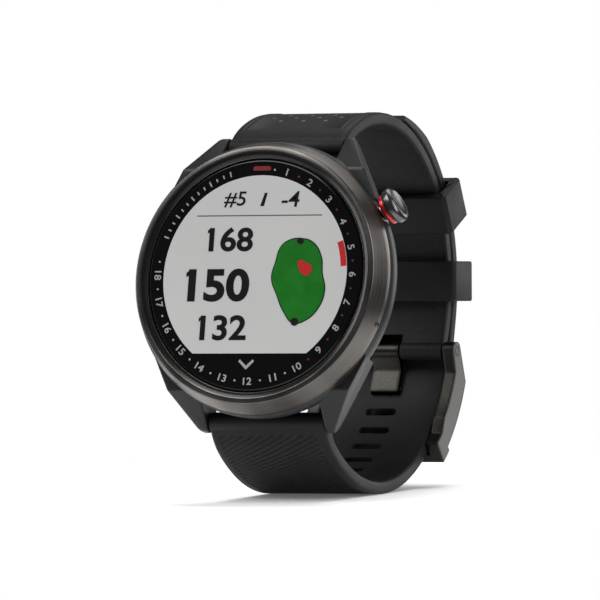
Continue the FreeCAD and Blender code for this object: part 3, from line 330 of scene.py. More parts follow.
def writing(name, text, height, x, z, finish, turnBy=0.0, bold=0.0, align="CENTER", depth=0.05, squeeze=1.0, lean=0.0):
    # figures of a given height, their middle at x, z on the dial, turned clockwise by an angle
    curve = bpy.data.curves.new(name, "FONT")
    curve.body = text
    curve.size = height / 0.72
    curve.offset = bold
    curve.extrude = depth / 2
    curve.align_x = align
    curve.align_y = "CENTER"
    curve.resolution_u = 5
    curve.shear = lean
    maker = bpy.data.objects.new(name + "Maker", curve)
    bpy.context.scene.collection.objects.link(maker)
    depsgraph = bpy.context.evaluated_depsgraph_get()
    mesh = bpy.data.meshes.new_from_object(maker.evaluated_get(depsgraph))
    bpy.data.objects.remove(maker)
    bm = bmesh.new()
    bm.from_mesh(mesh)
    bmesh.ops.remove_doubles(bm, verts=bm.verts, dist=0.0005)
    highest = max(vert.co.y for vert in bm.verts)
    lowest = min(vert.co.y for vert in bm.verts)
    left = min(vert.co.x for vert in bm.verts)
    right = max(vert.co.x for vert in bm.verts)
    middle = Vector(((left + right) / 2 if align == "CENTER" else left, (highest + lowest) / 2, 0))
    bmesh.ops.translate(bm, vec=-middle, verts=bm.verts)
    size = height / (highest - lowest) if highest > lowest and text[-1:].isdigit() else 1
    bmesh.ops.scale(bm, vec=Vector((size * squeeze, size, 1)), verts=bm.verts)
    upright = Matrix.Rotation(math.radians(90), 4, "X")
    spinBy = Matrix.Rotation(math.radians(turnBy), 4, "Y")
    bmesh.ops.transform(bm, matrix=Matrix.Translation((x, glassY - depth / 2 + 0.005, z)) @ spinBy @ upright,
                        verts=bm.verts)
    return settle(asObject(bm, name), "watch", finish, crease=40)


for number in range(1, 19):
    angle = 15 * number
    heading = math.radians(angle)
    spot = (dial["numeralRadius"] * math.sin(heading), dial["numeralRadius"] * math.cos(heading))
    flip = 0 if number <= 6 else 180
    writing("numeral%d" % number, str(number), dial["numeralHeight"], *spot, "numeral", turnBy=angle + flip,
            bold=0.02, squeeze=1.15)

dotBm = bmesh.new()
redDotBm = bmesh.new()
for number in range(0, 19):
    heading = math.radians(15 * number + 7.5)
    chosen = redDotBm if 0 < number < 10 else dotBm
    made = bmesh.ops.create_circle(chosen, cap_ends=True, segments=12, radius=0.17)
    bmesh.ops.rotate(chosen, cent=(0, 0, 0), matrix=Matrix.Rotation(math.radians(90), 3, "X"), verts=made["verts"])
    bmesh.ops.translate(chosen, vec=Vector((dial["numeralRadius"] * math.sin(heading), 0,
                                            dial["numeralRadius"] * math.cos(heading))), verts=made["verts"])
settle(asObject(faceUp(dotBm, 0.04), "dialDots"), "watch", "numeral")
settle(asObject(faceUp(redDotBm, 0.04), "dialRedDots"), "watch", "softRed")

# a plain red bar at twelve and a run of plain ticks to its left
tickBm = bmesh.new()
for index in range(13):
    heading = math.radians(291 + index * 4.2)
    made = bmesh.ops.create_circle(tickBm, cap_ends=True, segments=4, radius=0.5)
    length = 0.5 if index % 3 == 0 else 0.32
    bmesh.ops.rotate(tickBm, cent=(0, 0, 0), matrix=Matrix.Rotation(math.radians(45), 3, "Z"), verts=made["verts"])
    bmesh.ops.scale(tickBm, vec=Vector((0.34, length * 2.4, 1)), verts=made["verts"])
    bmesh.ops.rotate(tickBm, cent=(0, 0, 0), matrix=Matrix.Rotation(math.radians(90), 3, "X"), verts=made["verts"])
    bmesh.ops.rotate(tickBm, cent=(0, 0, 0), matrix=Matrix.Rotation(heading, 3, "Y"), verts=made["verts"])
    bmesh.ops.translate(tickBm, vec=Vector((16.85 * math.sin(heading), 0, 16.85 * math.cos(heading))),
                        verts=made["verts"])
settle(asObject(faceUp(tickBm, 0.04), "dialTicks"), "watch", "numeral")
plate("redMark", [(-1.6, 16.55), (1.6, 16.55), (1.45, 17.25), (-1.45, 17.25)], "softRed", 0.04, smooth=0.3)

# what the display shows: hole and score, a rule, three distances, the green and its flag
writing("holeNumber", "#5", 2.5, -4.3, 12.0, "ink", bold=0.03, depth=0.09, lean=0.12, squeeze=1.1)
writing("scoreNumber", "-4", 2.5, 5.3, 12.0, "ink", bold=0.03, depth=0.09, lean=0.12, squeeze=1.1)
plate("parMark", [(0.1, 10.9), (0.75, 10.9), (1.25, 13.0), (0.75, 13.0)], "ink", 0.05)
plate("displayRule", [(-10.7, 9.32), (10.9, 9.32), (10.9, 9.5), (-10.7, 9.5)], "greyLine", 0.045)
figures = [writing("backDistance", "168", 3.85, -4.5, 5.65, "ink", bold=0.13, depth=0.09, squeeze=1.14),
           writing("middleDistance", "150", 5.25, -6.1, -1.6, "ink", bold=0.24, depth=0.09, squeeze=1.16),
           writing("frontDistance", "132", 4.0, -4.8, -8.35, "ink", bold=0.13, depth=0.09, squeeze=1.14)]
for figure in figures:
    # the flag of the leading 1
    top = max(vert.co.z for vert in figure.data.vertices) / mm
    tall = top - min(vert.co.z for vert in figure.data.vertices) / mm
    stem = min(vert.co.x for vert in figure.data.vertices) / mm + tall * 0.07
    plate(figure.name + "Flag", [(stem, top - 0.01 * tall), (stem, top - 0.17 * tall),
                                 (stem - 0.15 * tall, top - 0.25 * tall), (stem - 0.15 * tall, top - 0.12 * tall)],
          "ink", 0.08)

greenOutline = [(7.3, 5.7), (9.6, 5.1), (11.2, 2.9), (11.6, 0.2), (12.2, -2.4), (11.3, -5.3), (9.2, -7.2), (7.2, -7.6),
                (5.5, -5.9), (4.1, -3.2), (3.0, -0.5), (3.5, 2.0), (4.3, 4.5), (5.8, 5.5)]


def blob(name, points, finish, grow, thickness):
    # a closed smooth curve through the points, filled and raised
    curve = bpy.data.curves.new(name, "CURVE")
    curve.dimensions = "2D"
    curve.fill_mode = "BOTH"
    curve.extrude = thickness / 2
    curve.offset = grow
    curve.resolution_u = 6
    spline = curve.splines.new("BEZIER")
    spline.bezier_points.add(len(points) - 1)
    spline.use_cyclic_u = True
    for point, (x, z) in zip(spline.bezier_points, points):
        point.co = (x, z, 0)
        point.handle_left_type = "AUTO"
        point.handle_right_type = "AUTO"
    maker = bpy.data.objects.new(name + "Maker", curve)
    bpy.context.scene.collection.objects.link(maker)
    depsgraph = bpy.context.evaluated_depsgraph_get()
    mesh = bpy.data.meshes.new_from_object(maker.evaluated_get(depsgraph))
    bpy.data.objects.remove(maker)
    bm = bmesh.new()
    bm.from_mesh(mesh)
    bmesh.ops.transform(bm, matrix=Matrix.Translation((0, glassY - thickness / 2 + 0.005, 0)) @
                        Matrix.Rotation(math.radians(90), 4, "X"), verts=bm.verts)
    return settle(asObject(bm, name), "watch", finish, crease=40)


blob("greenEdge", greenOutline, "ink", 0.12, 0.09)
blob("greenFill", greenOutline, "green", -0.06, 0.11)
blob("greenKnot", [(7.0, 5.6), (7.9, 5.7), (8.0, 5.0), (7.2, 4.9)], "ink", 0.0, 0.13)
blob("greenFoot", [(6.9, -7.0), (8.0, -7.1), (7.9, -7.9), (7.0, -7.9)], "ink", 0.0, 0.13)
blob("holeFlag", [(7.5, 2.2), (8.8, 1.9), (9.8, 1.1), (9.2, -0.1), (8.2, 0.1), (7.6, 0.9)], "brightRed", 0.0, 0.15)
arcPoints = []
for radius, angles in ((15.75, (70, 75, 80, 85)), (14.75, (85, 80, 75, 70))):
    arcPoints += [(radius * math.sin(math.radians(a)), radius * math.cos(math.radians(a))) for a in angles]
plate("redArc", arcPoints, "brightRed", 0.06)
plate("chevron", [(-1.5, -13.35), (-0.4, -14.35), (0.7, -13.35), (0.95, -13.65), (-0.4, -14.95), (-1.75, -13.65)],
      "numeral", 0.05)
print("dial made")

# ------ bezel: dark inner slope, brushed top and flank

bezel = {"lip": 19.6, "outer": 21.7, "split": 3.4, "inner": 18.45}
bezelPiece = asObject(turned([
    (bezel["inner"], 0.3, 0.05), (19.0, -0.2, 0.12), (bezel["lip"], -0.52, 0.12), (20.45, -0.42, 0.22),
    (bezel["outer"] - 0.12, 2.45, 0.3), (bezel["outer"], bezel["split"], 0.1), (19.2, bezel["split"], 0),
    (19.2, 4.3, 0), (bezel["inner"], 4.3, 0), (bezel["inner"], 1.95, 0), (17.1, 1.95, 0), (17.1, 1.45, 0),
    (bezel["inner"], 1.45, 0)], 256), "bezelRing")
for name in ("gunmetal", "lipBlack"):
    bezelPiece.data.materials.append(finishes[name])
ventHole = bmesh.new()
bmesh.ops.create_cone(ventHole, cap_ends=True, segments=32, radius1=0.33, radius2=0.33, depth=5)
bmesh.ops.rotate(ventHole, cent=(0, 0, 0), matrix=Matrix.Rotation(math.radians(90), 3, "X"), verts=ventHole.verts)
bmesh.ops.translate(ventHole, vec=Vector((0, 22.0, 0)), verts=ventHole.verts)
cutWith(bezelPiece, asObject(onRadius(ventHole, 110, 2.85), "ventHole"))
for polygon in bezelPiece.data.polygons:
    reach = math.hypot(polygon.center.x, polygon.center.z) / mm
    polygon.material_index = 1 if reach < bezel["lip"] - 0.15 else 0
settle(bezelPiece, "watch", "gunmetal", ("bezel",), crease=28)

# a thin gunmetal ring inside the dark slope, partly a real narrow bead, its colour lighter than the slope to make the
# bright line at the glass edge: painted highlight; and the light rim of the vent
settle(asObject(turned([(18.52, 0.22, 0.03), (18.66, 0.1, 0.03), (18.72, 0.2, 0.03), (18.6, 0.3, 0.03)], 192, 2),
                "bezelHighlightRing"), "watch", "gunmetal")
ventRim = section([(0.3, -0.12, 0.03), (0.5, -0.12, 0.05), (0.5, 0.06, 0.05), (0.3, 0.06, 0.03)], 3)
bmesh.ops.delete(ventRim, geom=ventRim.faces[:], context="FACES_ONLY")
bmesh.ops.spin(ventRim, geom=ventRim.verts[:] + ventRim.edges[:], cent=(0, 0, 0), axis=(0, 1, 0), dvec=(0, 0, 0),
               angle=math.tau, steps=40, use_merge=True, use_duplicate=False)
bmesh.ops.translate(ventRim, vec=Vector((0, 21.68, 0)), verts=ventRim.verts)
settle(asObject(onRadius(ventRim, 110, 2.85), "ventRim"), "watch", "chrome")
print("bezel made")

# ------ case: turned body with lugs that flare back into it

case = {"outer": high("case_body").x, "split": 3.4, "depth": high("case_body").y - glassY, "lugInner": 10.15,
        "lugOuter": 12.6, "shoulder": 17.6, "root": 12.0, "front": 3.7, "tipRadius": 1.8, "barDepth": 9.2, "barHeight": 21.8,
        "flareAngle": 50, "flareTilt": 0.24, "flareDepth": 7.0, "edge": 0.3}
casePiece = asObject(turned([
    (19.3, case["split"] + 0.05, 0), (case["outer"] - 0.35, case["split"], 0.08), (case["outer"], 4.3, 0.35),
    (case["outer"], 5.7, 0.6), (19.1, 10.1, 0.8), (18.6, 10.95, 0.2), (17.95, 10.95, 0.05), (17.95, 9.7, 0),
    (15.8, 9.7, 0), (15.8, 8.4, 0), (18.4, 8.4, 0), (18.4, 4.35, 0), (19.3, 4.35, 0)], 224), "caseShell")


def lug(side, end):
    # a side outline drawn in depth and height, widened outwards, then cut back along the flare
    outline = [(case["front"], case["root"]), (case["front"], case["shoulder"]),
               (case["barDepth"] - 1.15, case["barHeight"] + 1.45), (case["barDepth"] + 0.3, case["barHeight"] + 1.75),
               (case["barDepth"] + 1.55, case["barHeight"] + 0.9), (case["depth"] - 0.05, case["barHeight"] - 0.7),
               (case["depth"] - 0.2, case["barHeight"] - 5.0), (case["depth"] - 0.5, case["root"])]
    bm = bmesh.new()
    corners = [bm.verts.new((case["lugInner"], glassY + depth, height)) for depth, height in outline]
    bm.faces.new(corners)
    bmesh.ops.bevel(bm, geom=corners[2:6], affect="VERTICES", offset=0.5, segments=4, profile=0.5, material=-1)
    grown = bmesh.ops.extrude_face_region(bm, geom=bm.faces[:], use_keep_orig=True)
    fresh = [item for item in grown["geom"] if isinstance(item, bmesh.types.BMVert)]
    bmesh.ops.translate(bm, vec=Vector((9, 0, 0)), verts=fresh)
    bmesh.ops.recalc_face_normals(bm, faces=bm.faces)
    flare = math.radians(case["flareAngle"])
    foot = Vector(((case["outer"] - 0.2) * math.sin(flare), 0, (case["outer"] - 0.2) * math.cos(flare)))
    head = Vector((case["lugOuter"], 0, case["barHeight"] + 0.3))
    run = head - foot
    facing = Vector((run.z, 0.0, -run.x)).normalized()
    facing = Vector((facing.x, case["flareTilt"], facing.z)).normalized()
    anchor = Vector((head.x, glassY + case["flareDepth"], head.z))
    bmesh.ops.bisect_plane(bm, geom=bm.verts[:] + bm.edges[:] + bm.faces[:], dist=0.001, plane_co=anchor,
                           plane_no=facing, clear_outer=True)
    bmesh.ops.holes_fill(bm, edges=[edge for edge in bm.edges if edge.is_boundary], sides=0)
    bmesh.ops.recalc_face_normals(bm, faces=bm.faces)
    sharp = [edge for edge in bm.edges if len(edge.link_faces) == 2 and edge.calc_face_angle() > 0.45]
    bmesh.ops.bevel(bm, geom=sharp, affect="EDGES", offset=case["edge"], segments=3, profile=0.5, material=-1,
                    clamp_overlap=True)
    bmesh.ops.scale(bm, vec=Vector((side, 1, end)), verts=bm.verts)
    return asObject(bm, "lug")


for side in (1, -1):
    for end in (1, -1):
        cutWith(casePiece, lug(side, end), "UNION")
pocket = bmesh.new()
bmesh.ops.create_cone(pocket, cap_ends=True, segments=64, radius1=2.65, radius2=2.65, depth=3)
bmesh.ops.rotate(pocket, cent=(0, 0, 0), matrix=Matrix.Rotation(math.radians(90), 3, "X"), verts=pocket.verts)
bmesh.ops.translate(pocket, vec=Vector((0, 22.6, 0)), verts=pocket.verts)
cutWith(casePiece, asObject(onRadius(pocket, 60, 5.6), "buttonPocket"))
for end in (1, -1):
    pinHole = bmesh.new()
    bmesh.ops.create_cone(pinHole, cap_ends=True, segments=32, radius1=0.47, radius2=0.47, depth=22.8)
    bmesh.ops.rotate(pinHole, cent=(0, 0, 0), matrix=Matrix.Rotation(math.radians(90), 3, "Y"), verts=pinHole.verts)
    bmesh.ops.translate(pinHole, vec=Vector((0, glassY + case["barDepth"], case["barHeight"] * end)),
                        verts=pinHole.verts)
    cutWith(casePiece, asObject(pinHole, "pinHole"))
settle(casePiece, "watch", "case", ("case_body",), crease=34)
print("case made")

# ------ button: dark chrome cap with a dished end, bright red ring under it

buttonLook = {"angle": 60, "depth": 5.6, "reach": high("bezel").x + 3.0, "capRadius": 2.9, "ringRadius": 2.5}


def buttonTurn(corners, steps=72):
    bm = section([(radius, height, rounding) for radius, height, rounding in corners], 4)
    bmesh.ops.delete(bm, geom=bm.faces[:], context="FACES_ONLY")
    axisEdges = [edge for edge in bm.edges if all(abs(vert.co.x) < 1e-6 for vert in edge.verts)]
    bmesh.ops.delete(bm, geom=axisEdges, context="EDGES")
    bmesh.ops.spin(bm, geom=bm.verts[:] + bm.edges[:], cent=(0, 0, 0), axis=(0, 1, 0), dvec=(0, 0, 0),
                   angle=math.tau, steps=steps, use_merge=True, use_duplicate=False)
    return onRadius(bm, buttonLook["angle"], buttonLook["depth"])


reach = buttonLook["reach"]
settle(asObject(buttonTurn([(0, reach - 0.28, 0), (1.7, reach - 0.16, 0.3), (2.15, reach, 0.12), (2.45, reach - 0.05, 0.2),
                            (2.9, reach - 0.55, 0.2), (2.9, reach - 1.4, 0.1), (2.72, reach - 1.52, 0.06),
                            (2.72, reach - 1.75, 0.08), (1.4, reach - 1.75, 0), (1.4, reach - 2.6, 0),
                            (0.85, reach - 2.6, 0), (0.85, reach - 8.4, 0), (0, reach - 8.4, 0)]), "buttonCap"),
       "button", "chrome", ("button_cap",))
settle(asObject(buttonTurn([(1.45, reach - 2.65, 0.08), (2.3, reach - 2.65, 0.15), (2.5, reach - 2.4, 0.12),
                            (2.5, reach - 1.85, 0.12), (2.35, reach - 1.76, 0.05), (1.45, reach - 1.76, 0.05)]),
                "buttonRing"), "button", "redAlloy", ("button_ring",))
print("button made")

# ------ strap halves, swept station by station

strap = {"upperCentre": 3.6, "upperMiddle": 25.6, "lowerCentre": -1.6, "lowerMiddle": 27.5, "tailMiddle": 27.75,
         "half": strapHalf, "thickness": 2.0, "ribPitch": 0.85, "ribDepth": 0.26, "ribSlant": -0.5, "margin": 1.3, "plainStart": 1.4, "tailAngle": 82, "tipRun": 9.0, "tipThickness": 0.9,
         "barY": (low("upper_bar_tube").y + high("upper_bar_tube").y) / 2,
         "barZ": (low("upper_bar_tube").z + high("upper_bar_tube").z) / 2}


def station(centreZ, radius, degrees, thick=2.0):
    # a place on an arc about the wrist: y, z, outward angle, thickness
    angle = math.radians(degrees)
    return (radius * math.cos(angle), centreZ + radius * math.sin(angle), angle, thick)


def arcStations(centreZ, radius, start, end, step):
    count = max(1, round(abs(math.radians(end - start)) * radius / step))
    return [station(centreZ, radius, start + (end - start) * index / count) for index in range(count + 1)]


def between(first, second, count):
    return [tuple(a + (b - a) * index / count for a, b in zip(first, second)) for index in range(1, count)]


def eased(bar, arcStart, way, step):
    # a smooth path from the bar that arrives along the arc's own direction, thinning as it goes
    first = Vector(bar[:2])
    last = Vector(arcStart[:2])
    span = (last - first).length
    leave = way * span * Vector((-math.sin(bar[2]), math.cos(bar[2])))
    arrive = way * span * Vector((-math.sin(arcStart[2]), math.cos(arcStart[2])))
    count = round(span / step)
    places = []
    for index in range(count):
        t = index / count
        ease = t * t * (3 - 2 * t)
        point = first * (1 - ease) + last * ease + leave * (t ** 3 - 2 * t * t + t) + arrive * (t ** 3 - t * t)
        slope = (last - first) * 6 * (t - t * t) + leave * (3 * t * t - 4 * t + 1) + arrive * (3 * t * t - 2 * t)
        places.append((point.x, point.y, math.atan2(-slope.x * way, slope.y * way),
                       bar[3] + (arcStart[3] - bar[3]) * ease))
    return places


def stationMatrix(place):
    y, z, angle, thick = place
    outward = Vector((0, math.cos(angle), math.sin(angle)))
    along = Vector((0, -math.sin(angle), math.cos(angle)))
    turn = Matrix((Vector((1, 0, 0)), outward, along)).transposed().to_4x4()
    return Matrix.Translation((0, y, z)) @ turn @ Matrix.Diagonal((1, thick / 2, 1, 1))


def swept(profile, stations, rounding=0.45):
    # profile is (x, height) round the band at unit half thickness, the outer face first
    bm = bmesh.new()
    row = bm.verts.layers.int.new("row")
    points = [bm.verts.new((x, height, 0)) for x, height in profile]
    face = bm.faces.new(points)
    startMatrix = stationMatrix(stations[0])
    bmesh.ops.transform(bm, matrix=startMatrix, verts=points)
    loop = list(face.edges)
    previous = startMatrix
    for index, place in enumerate(stations[1:], 1):
        grown = bmesh.ops.extrude_edge_only(bm, edges=loop)
        fresh = [item for item in grown["geom"] if isinstance(item, bmesh.types.BMVert)]
        loop = [item for item in grown["geom"] if isinstance(item, bmesh.types.BMEdge)]
        current = stationMatrix(place)
        bmesh.ops.transform(bm, matrix=current @ previous.inverted(), verts=fresh)
        for vert in fresh:
            vert[row] = index
        previous = current
    bmesh.ops.holes_fill(bm, edges=loop, sides=0)
    return bm, row


def bandProfile(half, edge, outerMarks):
    # rounded edges, with the outer face's own heights between them
    outer = [(x, height) for x, height in outerMarks]
    right = [(half - edge * (1 - math.sin(math.radians(a))), 1 - edge * (1 - math.cos(math.radians(a))))
             for a in (15, 35, 55, 75)]
    rightIn = [(x, -height) for x, height in reversed(right)]
    left = [(-x, height) for x, height in reversed(right)]
    leftIn = [(-x, -height) for x, height in right]
    return outer + right + [(half, 0.3), (half, -0.3)] + rightIn + [(half - edge * 1.4, -1), (half * 0.5, -1), (0, -1),
            (-half * 0.5, -1), (-half + edge * 1.4, -1)] + leftIn + [(-half, -0.3), (-half, 0.3)] + left


def sleeve(name, end):
    # the rounded end that turns about the spring bar
    bm = bmesh.new()
    bmesh.ops.create_cone(bm, cap_ends=True, segments=40, radius1=1.6, radius2=1.6, depth=2 * strap["half"])
    rims = [edge for edge in bm.edges if len(edge.link_faces) == 2 and
            any(len(linked.verts) > 4 for linked in edge.link_faces)]
    bmesh.ops.bevel(bm, geom=rims, affect="EDGES", offset=0.3, segments=3, profile=0.5, material=-1)
    bmesh.ops.rotate(bm, cent=(0, 0, 0), matrix=Matrix.Rotation(math.radians(90), 3, "Y"), verts=bm.verts)
    bmesh.ops.translate(bm, vec=Vector((0, strap["barY"], strap["barZ"] * end)), verts=bm.verts)
    return asObject(bm, name)


# upper half: raised lines along both margins, dimples between them
half = strap["half"]
upperMarks = [(-9.3, 1), (-9.05, 1.08), (-8.85, 1.08), (-8.7, 1), (-8.35, 1), (-8.2, 1.08), (-8.0, 1.08), (-7.85, 1),
              (-4, 1.0), (0, 1.0), (4, 1.0), (7.85, 1), (8.0, 1.08), (8.2, 1.08), (8.35, 1), (8.7, 1), (8.85, 1.08),
              (9.05, 1.08), (9.3, 1)]
upperArc = arcStations(strap["upperCentre"], strap["upperMiddle"], 122, -14.5, 0.6)
barStation = (strap["barY"], strap["barZ"], math.radians(150), 2.9)
upperStations = eased(barStation, upperArc[0], -1, 0.6) + upperArc
upperBm, _ = swept(bandProfile(half, 0.45, upperMarks), upperStations)
upperPiece = asObject(upperBm, "upperStrap")
cutWith(upperPiece, sleeve("upperSleeve", 1), "UNION")
knuckle = bmesh.new()
bmesh.ops.create_cone(knuckle, cap_ends=True, segments=40, radius1=1.45, radius2=1.45, depth=2 * half)
bmesh.ops.rotate(knuckle, cent=(0, 0, 0), matrix=Matrix.Rotation(math.radians(90), 3, "Y"), verts=knuckle.verts)
buckleMiddle = (low("buckle_bar") + high("buckle_bar")) / 2
bmesh.ops.translate(knuckle, vec=Vector((0, buckleMiddle.y, buckleMiddle.z)), verts=knuckle.verts)
cutWith(upperPiece, asObject(knuckle, "upperKnuckle"), "UNION")
notch = bmesh.new()
bmesh.ops.create_cube(notch, size=1)
bmesh.ops.scale(notch, vec=Vector((5.6, 5.4, 5.4)), verts=notch.verts)
bmesh.ops.translate(notch, vec=Vector((0, buckleMiddle.y, buckleMiddle.z)), verts=notch.verts)
cutWith(upperPiece, asObject(notch, "tongueNotch"))
dimples = bmesh.new()
outerRadius = strap["upperMiddle"] + strap["thickness"] / 2
for index in range(44):
    angle = math.radians(118 - index * 1.85 / outerRadius * 57.3)
    for across in ((-5.85, -1.95, 1.95, 5.85) if index % 2 else (-3.9, 0, 3.9)):
        made = bmesh.ops.create_icosphere(dimples, subdivisions=1, radius=0.38)
        bmesh.ops.translate(dimples, vec=Vector((across, (outerRadius + 0.1) * math.cos(angle),
                                                 strap["upperCentre"] + (outerRadius + 0.1) * math.sin(angle))),
                            verts=made["verts"])
dimpleTool = asObject(dimples, "dimpleTool")
# the dimple hollows get the light grey dimple finish, far lighter than the strap: painted highlight
upperPiece.data.materials.append(finishes["siliconeUpper"])
upperPiece.data.materials.append(finishes["paintedDimpleLight"])
dimpleTool.data.materials.append(finishes["siliconeUpper"])
dimpleTool.data.materials.append(finishes["paintedDimpleLight"])
for polygon in dimpleTool.data.polygons:
    polygon.material_index = 1
cutWith(upperPiece, dimpleTool)
settle(upperPiece, "watch", "siliconeUpper", ("upper_strap",), crease=30)
print("upper strap made")

# lower half: a smooth band by the lugs, then slanted ribs between plain margins
ribStep = strap["ribPitch"] / 5
columns = 56
lowerMarks = [(-9.3 + 18.6 * index / columns, 1) for index in range(columns + 1)]
tangentAngle = math.degrees(math.asin((strap["lowerMiddle"] - strap["tailMiddle"]) /
                                      (strap["upperCentre"] - strap["lowerCentre"])))
lowerArc = arcStations(strap["lowerCentre"], strap["lowerMiddle"], -120, tangentAngle, ribStep)
tailArc = arcStations(strap["upperCentre"], strap["tailMiddle"], tangentAngle, strap["tailAngle"], ribStep)
# the tail thins towards its tip, its wrist side keeping its place
tipCount = round(strap["tipRun"] / ribStep)
for index in range(tipCount):
    thinner = (strap["thickness"] - strap["tipThickness"]) * (index + 1) / tipCount
    y, z, angle, _ = tailArc[index - tipCount]
    tailArc[index - tipCount] = (y - math.cos(angle) * thinner / 2, z - math.sin(angle) * thinner / 2, angle,
                                 strap["thickness"] - thinner)
straight = between(lowerArc[-1], tailArc[0], round(abs(tailArc[0][1] - lowerArc[-1][1]) / ribStep))
lead = eased((strap["barY"], -strap["barZ"], math.radians(-150), 2.9), lowerArc[0], 1, ribStep)
lowerStations = lead + lowerArc + straight + tailArc
lowerBm, row = swept(bandProfile(half, 0.45, lowerMarks), lowerStations)
for vert in lowerBm.verts:
    index = vert[row]
    y, z, angle, thick = lowerStations[index]
    outward = Vector((0, math.cos(angle), math.sin(angle)))
    travelled = index * ribStep
    left = (len(lowerStations) - 1 - index) * ribStep
    if (vert.co - Vector((0, y, z))).dot(outward) > 0.99 * thick / 2:
        # plain margins and plain ends, with the ribs fading in over a short way
        inside = min(1, max(0, (half - strap["margin"] - abs(vert.co.x)) / 0.3)) * \
                 min(1, max(0, (travelled - strap["plainStart"]) / 0.4)) * min(1, max(0, (left - 9) / 0.4))
        phase = (travelled - strap["ribSlant"] * vert.co.x) / strap["ribPitch"]
        valley = (0.5 - 0.5 * math.cos(math.tau * phase)) ** 1.5
        vert.co -= outward * strap["ribDepth"] * valley * inside
lowerPiece = asObject(lowerBm, "lowerStrap")
cutWith(lowerPiece, sleeve("lowerSleeve", -1), "UNION")

holeTool = bmesh.new()


def holePlug(centreZ, radius, degrees):
    plug = bmesh.new()
    bmesh.ops.create_cube(plug, size=1)
    bmesh.ops.scale(plug, vec=Vector((5.3, 6, 1.4)), verts=plug.verts)
    uprights = [edge for edge in plug.edges if abs(edge.verts[0].co.y - edge.verts[1].co.y) > 1]
    bmesh.ops.bevel(plug, geom=uprights, affect="EDGES", offset=0.62, segments=5, profile=0.5, material=-1)
    bmesh.ops.translate(plug, vec=Vector((0, radius, 0)), verts=plug.verts)
    bmesh.ops.rotate(plug, cent=(0, 0, 0), matrix=Matrix.Rotation(math.radians(degrees), 3, "X"), verts=plug.verts)
    bmesh.ops.translate(plug, vec=Vector((0, 0, centreZ)), verts=plug.verts)
    carried = bpy.data.meshes.new("plug")
    plug.to_mesh(carried)
    plug.free()
    holeTool.from_mesh(carried)


for index in range(6):
    holePlug(strap["lowerCentre"], strap["lowerMiddle"], -18.3 - math.degrees(index * 4 / strap["lowerMiddle"]))
for index in range(7):
    holePlug(strap["upperCentre"], strap["tailMiddle"], 3 + math.degrees(index * 4 / strap["tailMiddle"]))
cutWith(lowerPiece, asObject(holeTool, "holeTool"))
settle(lowerPiece, "watch", "silicone", ("lower_strap",), crease=30)
print("lower strap made")


# ------ keepers: soft square loops

def keeperLoop(name, node, body, degrees, length):
    outerHalf = high(node).x
    bow = 24.6 - math.sqrt(24.6 ** 2 - length ** 2 / 4)
    inner = 24.6 - bow - 0.25 - 1.3
    outer = 28.75 + 0.25 + 1.3
    bm = section([(-outerHalf, inner, 0.9), (outerHalf, inner, 0.9), (outerHalf, outer, 0.9), (-outerHalf, outer, 0.9)], 5)
    bmesh.ops.translate(bm, vec=Vector((0, 0, -length / 2)), verts=bm.verts)
    bmesh.ops.inset_region(bm, faces=bm.faces[:], thickness=1.3, use_even_offset=True, use_boundary=True)
    middleFace = max(bm.faces, key=lambda face: face.calc_area())
    bmesh.ops.delete(bm, geom=[middleFace], context="FACES")
    grown = bmesh.ops.extrude_face_region(bm, geom=bm.faces[:], use_keep_orig=True)
    fresh = [item for item in grown["geom"] if isinstance(item, bmesh.types.BMVert)]
    bmesh.ops.translate(bm, vec=Vector((0, 0, length)), verts=fresh)
    bmesh.ops.recalc_face_normals(bm, faces=bm.faces)
    rims = [edge for edge in bm.edges if len(edge.link_faces) == 2 and edge.calc_face_angle() > 1.2]
    bmesh.ops.bevel(bm, geom=rims, affect="EDGES", offset=0.28, segments=3, profile=0.5, material=-1)
    bmesh.ops.rotate(bm, cent=(0, 0, 0), matrix=Matrix.Rotation(math.radians(degrees), 3, "X"), verts=bm.verts)
    bmesh.ops.translate(bm, vec=Vector((0, 0, strap["upperCentre"])), verts=bm.verts)
    settle(asObject(bm, name), body, "silicone", (node,), crease=30)


keeperLoop("fixedKeeper", "fixed_keeper", "watch", 10, 6.4)
keeperLoop("freeKeeper", "free_keeper", "free_keeper_loop", 37, 6.6)
print("keepers made")

# ------ finishes for the frame pieces that stay

kept = {"buckleMetal": ("buckle_frame", "buckle_tongue", "buckle_bar"),
        "steel": ("upper_bar_tube", "upper_bar_fixed_tip", "upper_bar_release_pin", "upper_bar_spring",
                  "lower_bar_tube", "lower_bar_fixed_tip", "lower_bar_release_pin", "lower_bar_spring", "button_spring",
                  "button_clip", "back_cover_screws", "button_bushing", "shield_cans", "vibration_motor"),
        "backPlastic": ("back_cover", "charge_block"), "goldPlate": ("charge_contacts", "gps_antenna"),
        "rubberSeal": ("button_seals", "back_cover_gasket", "lens_gasket", "vent_membrane"),
        "boardGreen": ("main_board",), "cellFoil": ("battery",), "amberFlex": ("display_flex", "battery_flex"),
        "paleLayer": ("backlight", "display_panel", "touch_panel"), "framePlastic": ("inner_frame", "tactile_switch"),
        "chrome": ("vent_plug",)}
for finish, names in kept.items():
    for name in names:
        nodes[name].data.materials.clear()
        nodes[name].data.materials.append(finishes[finish])

# ------ floor, light and camera

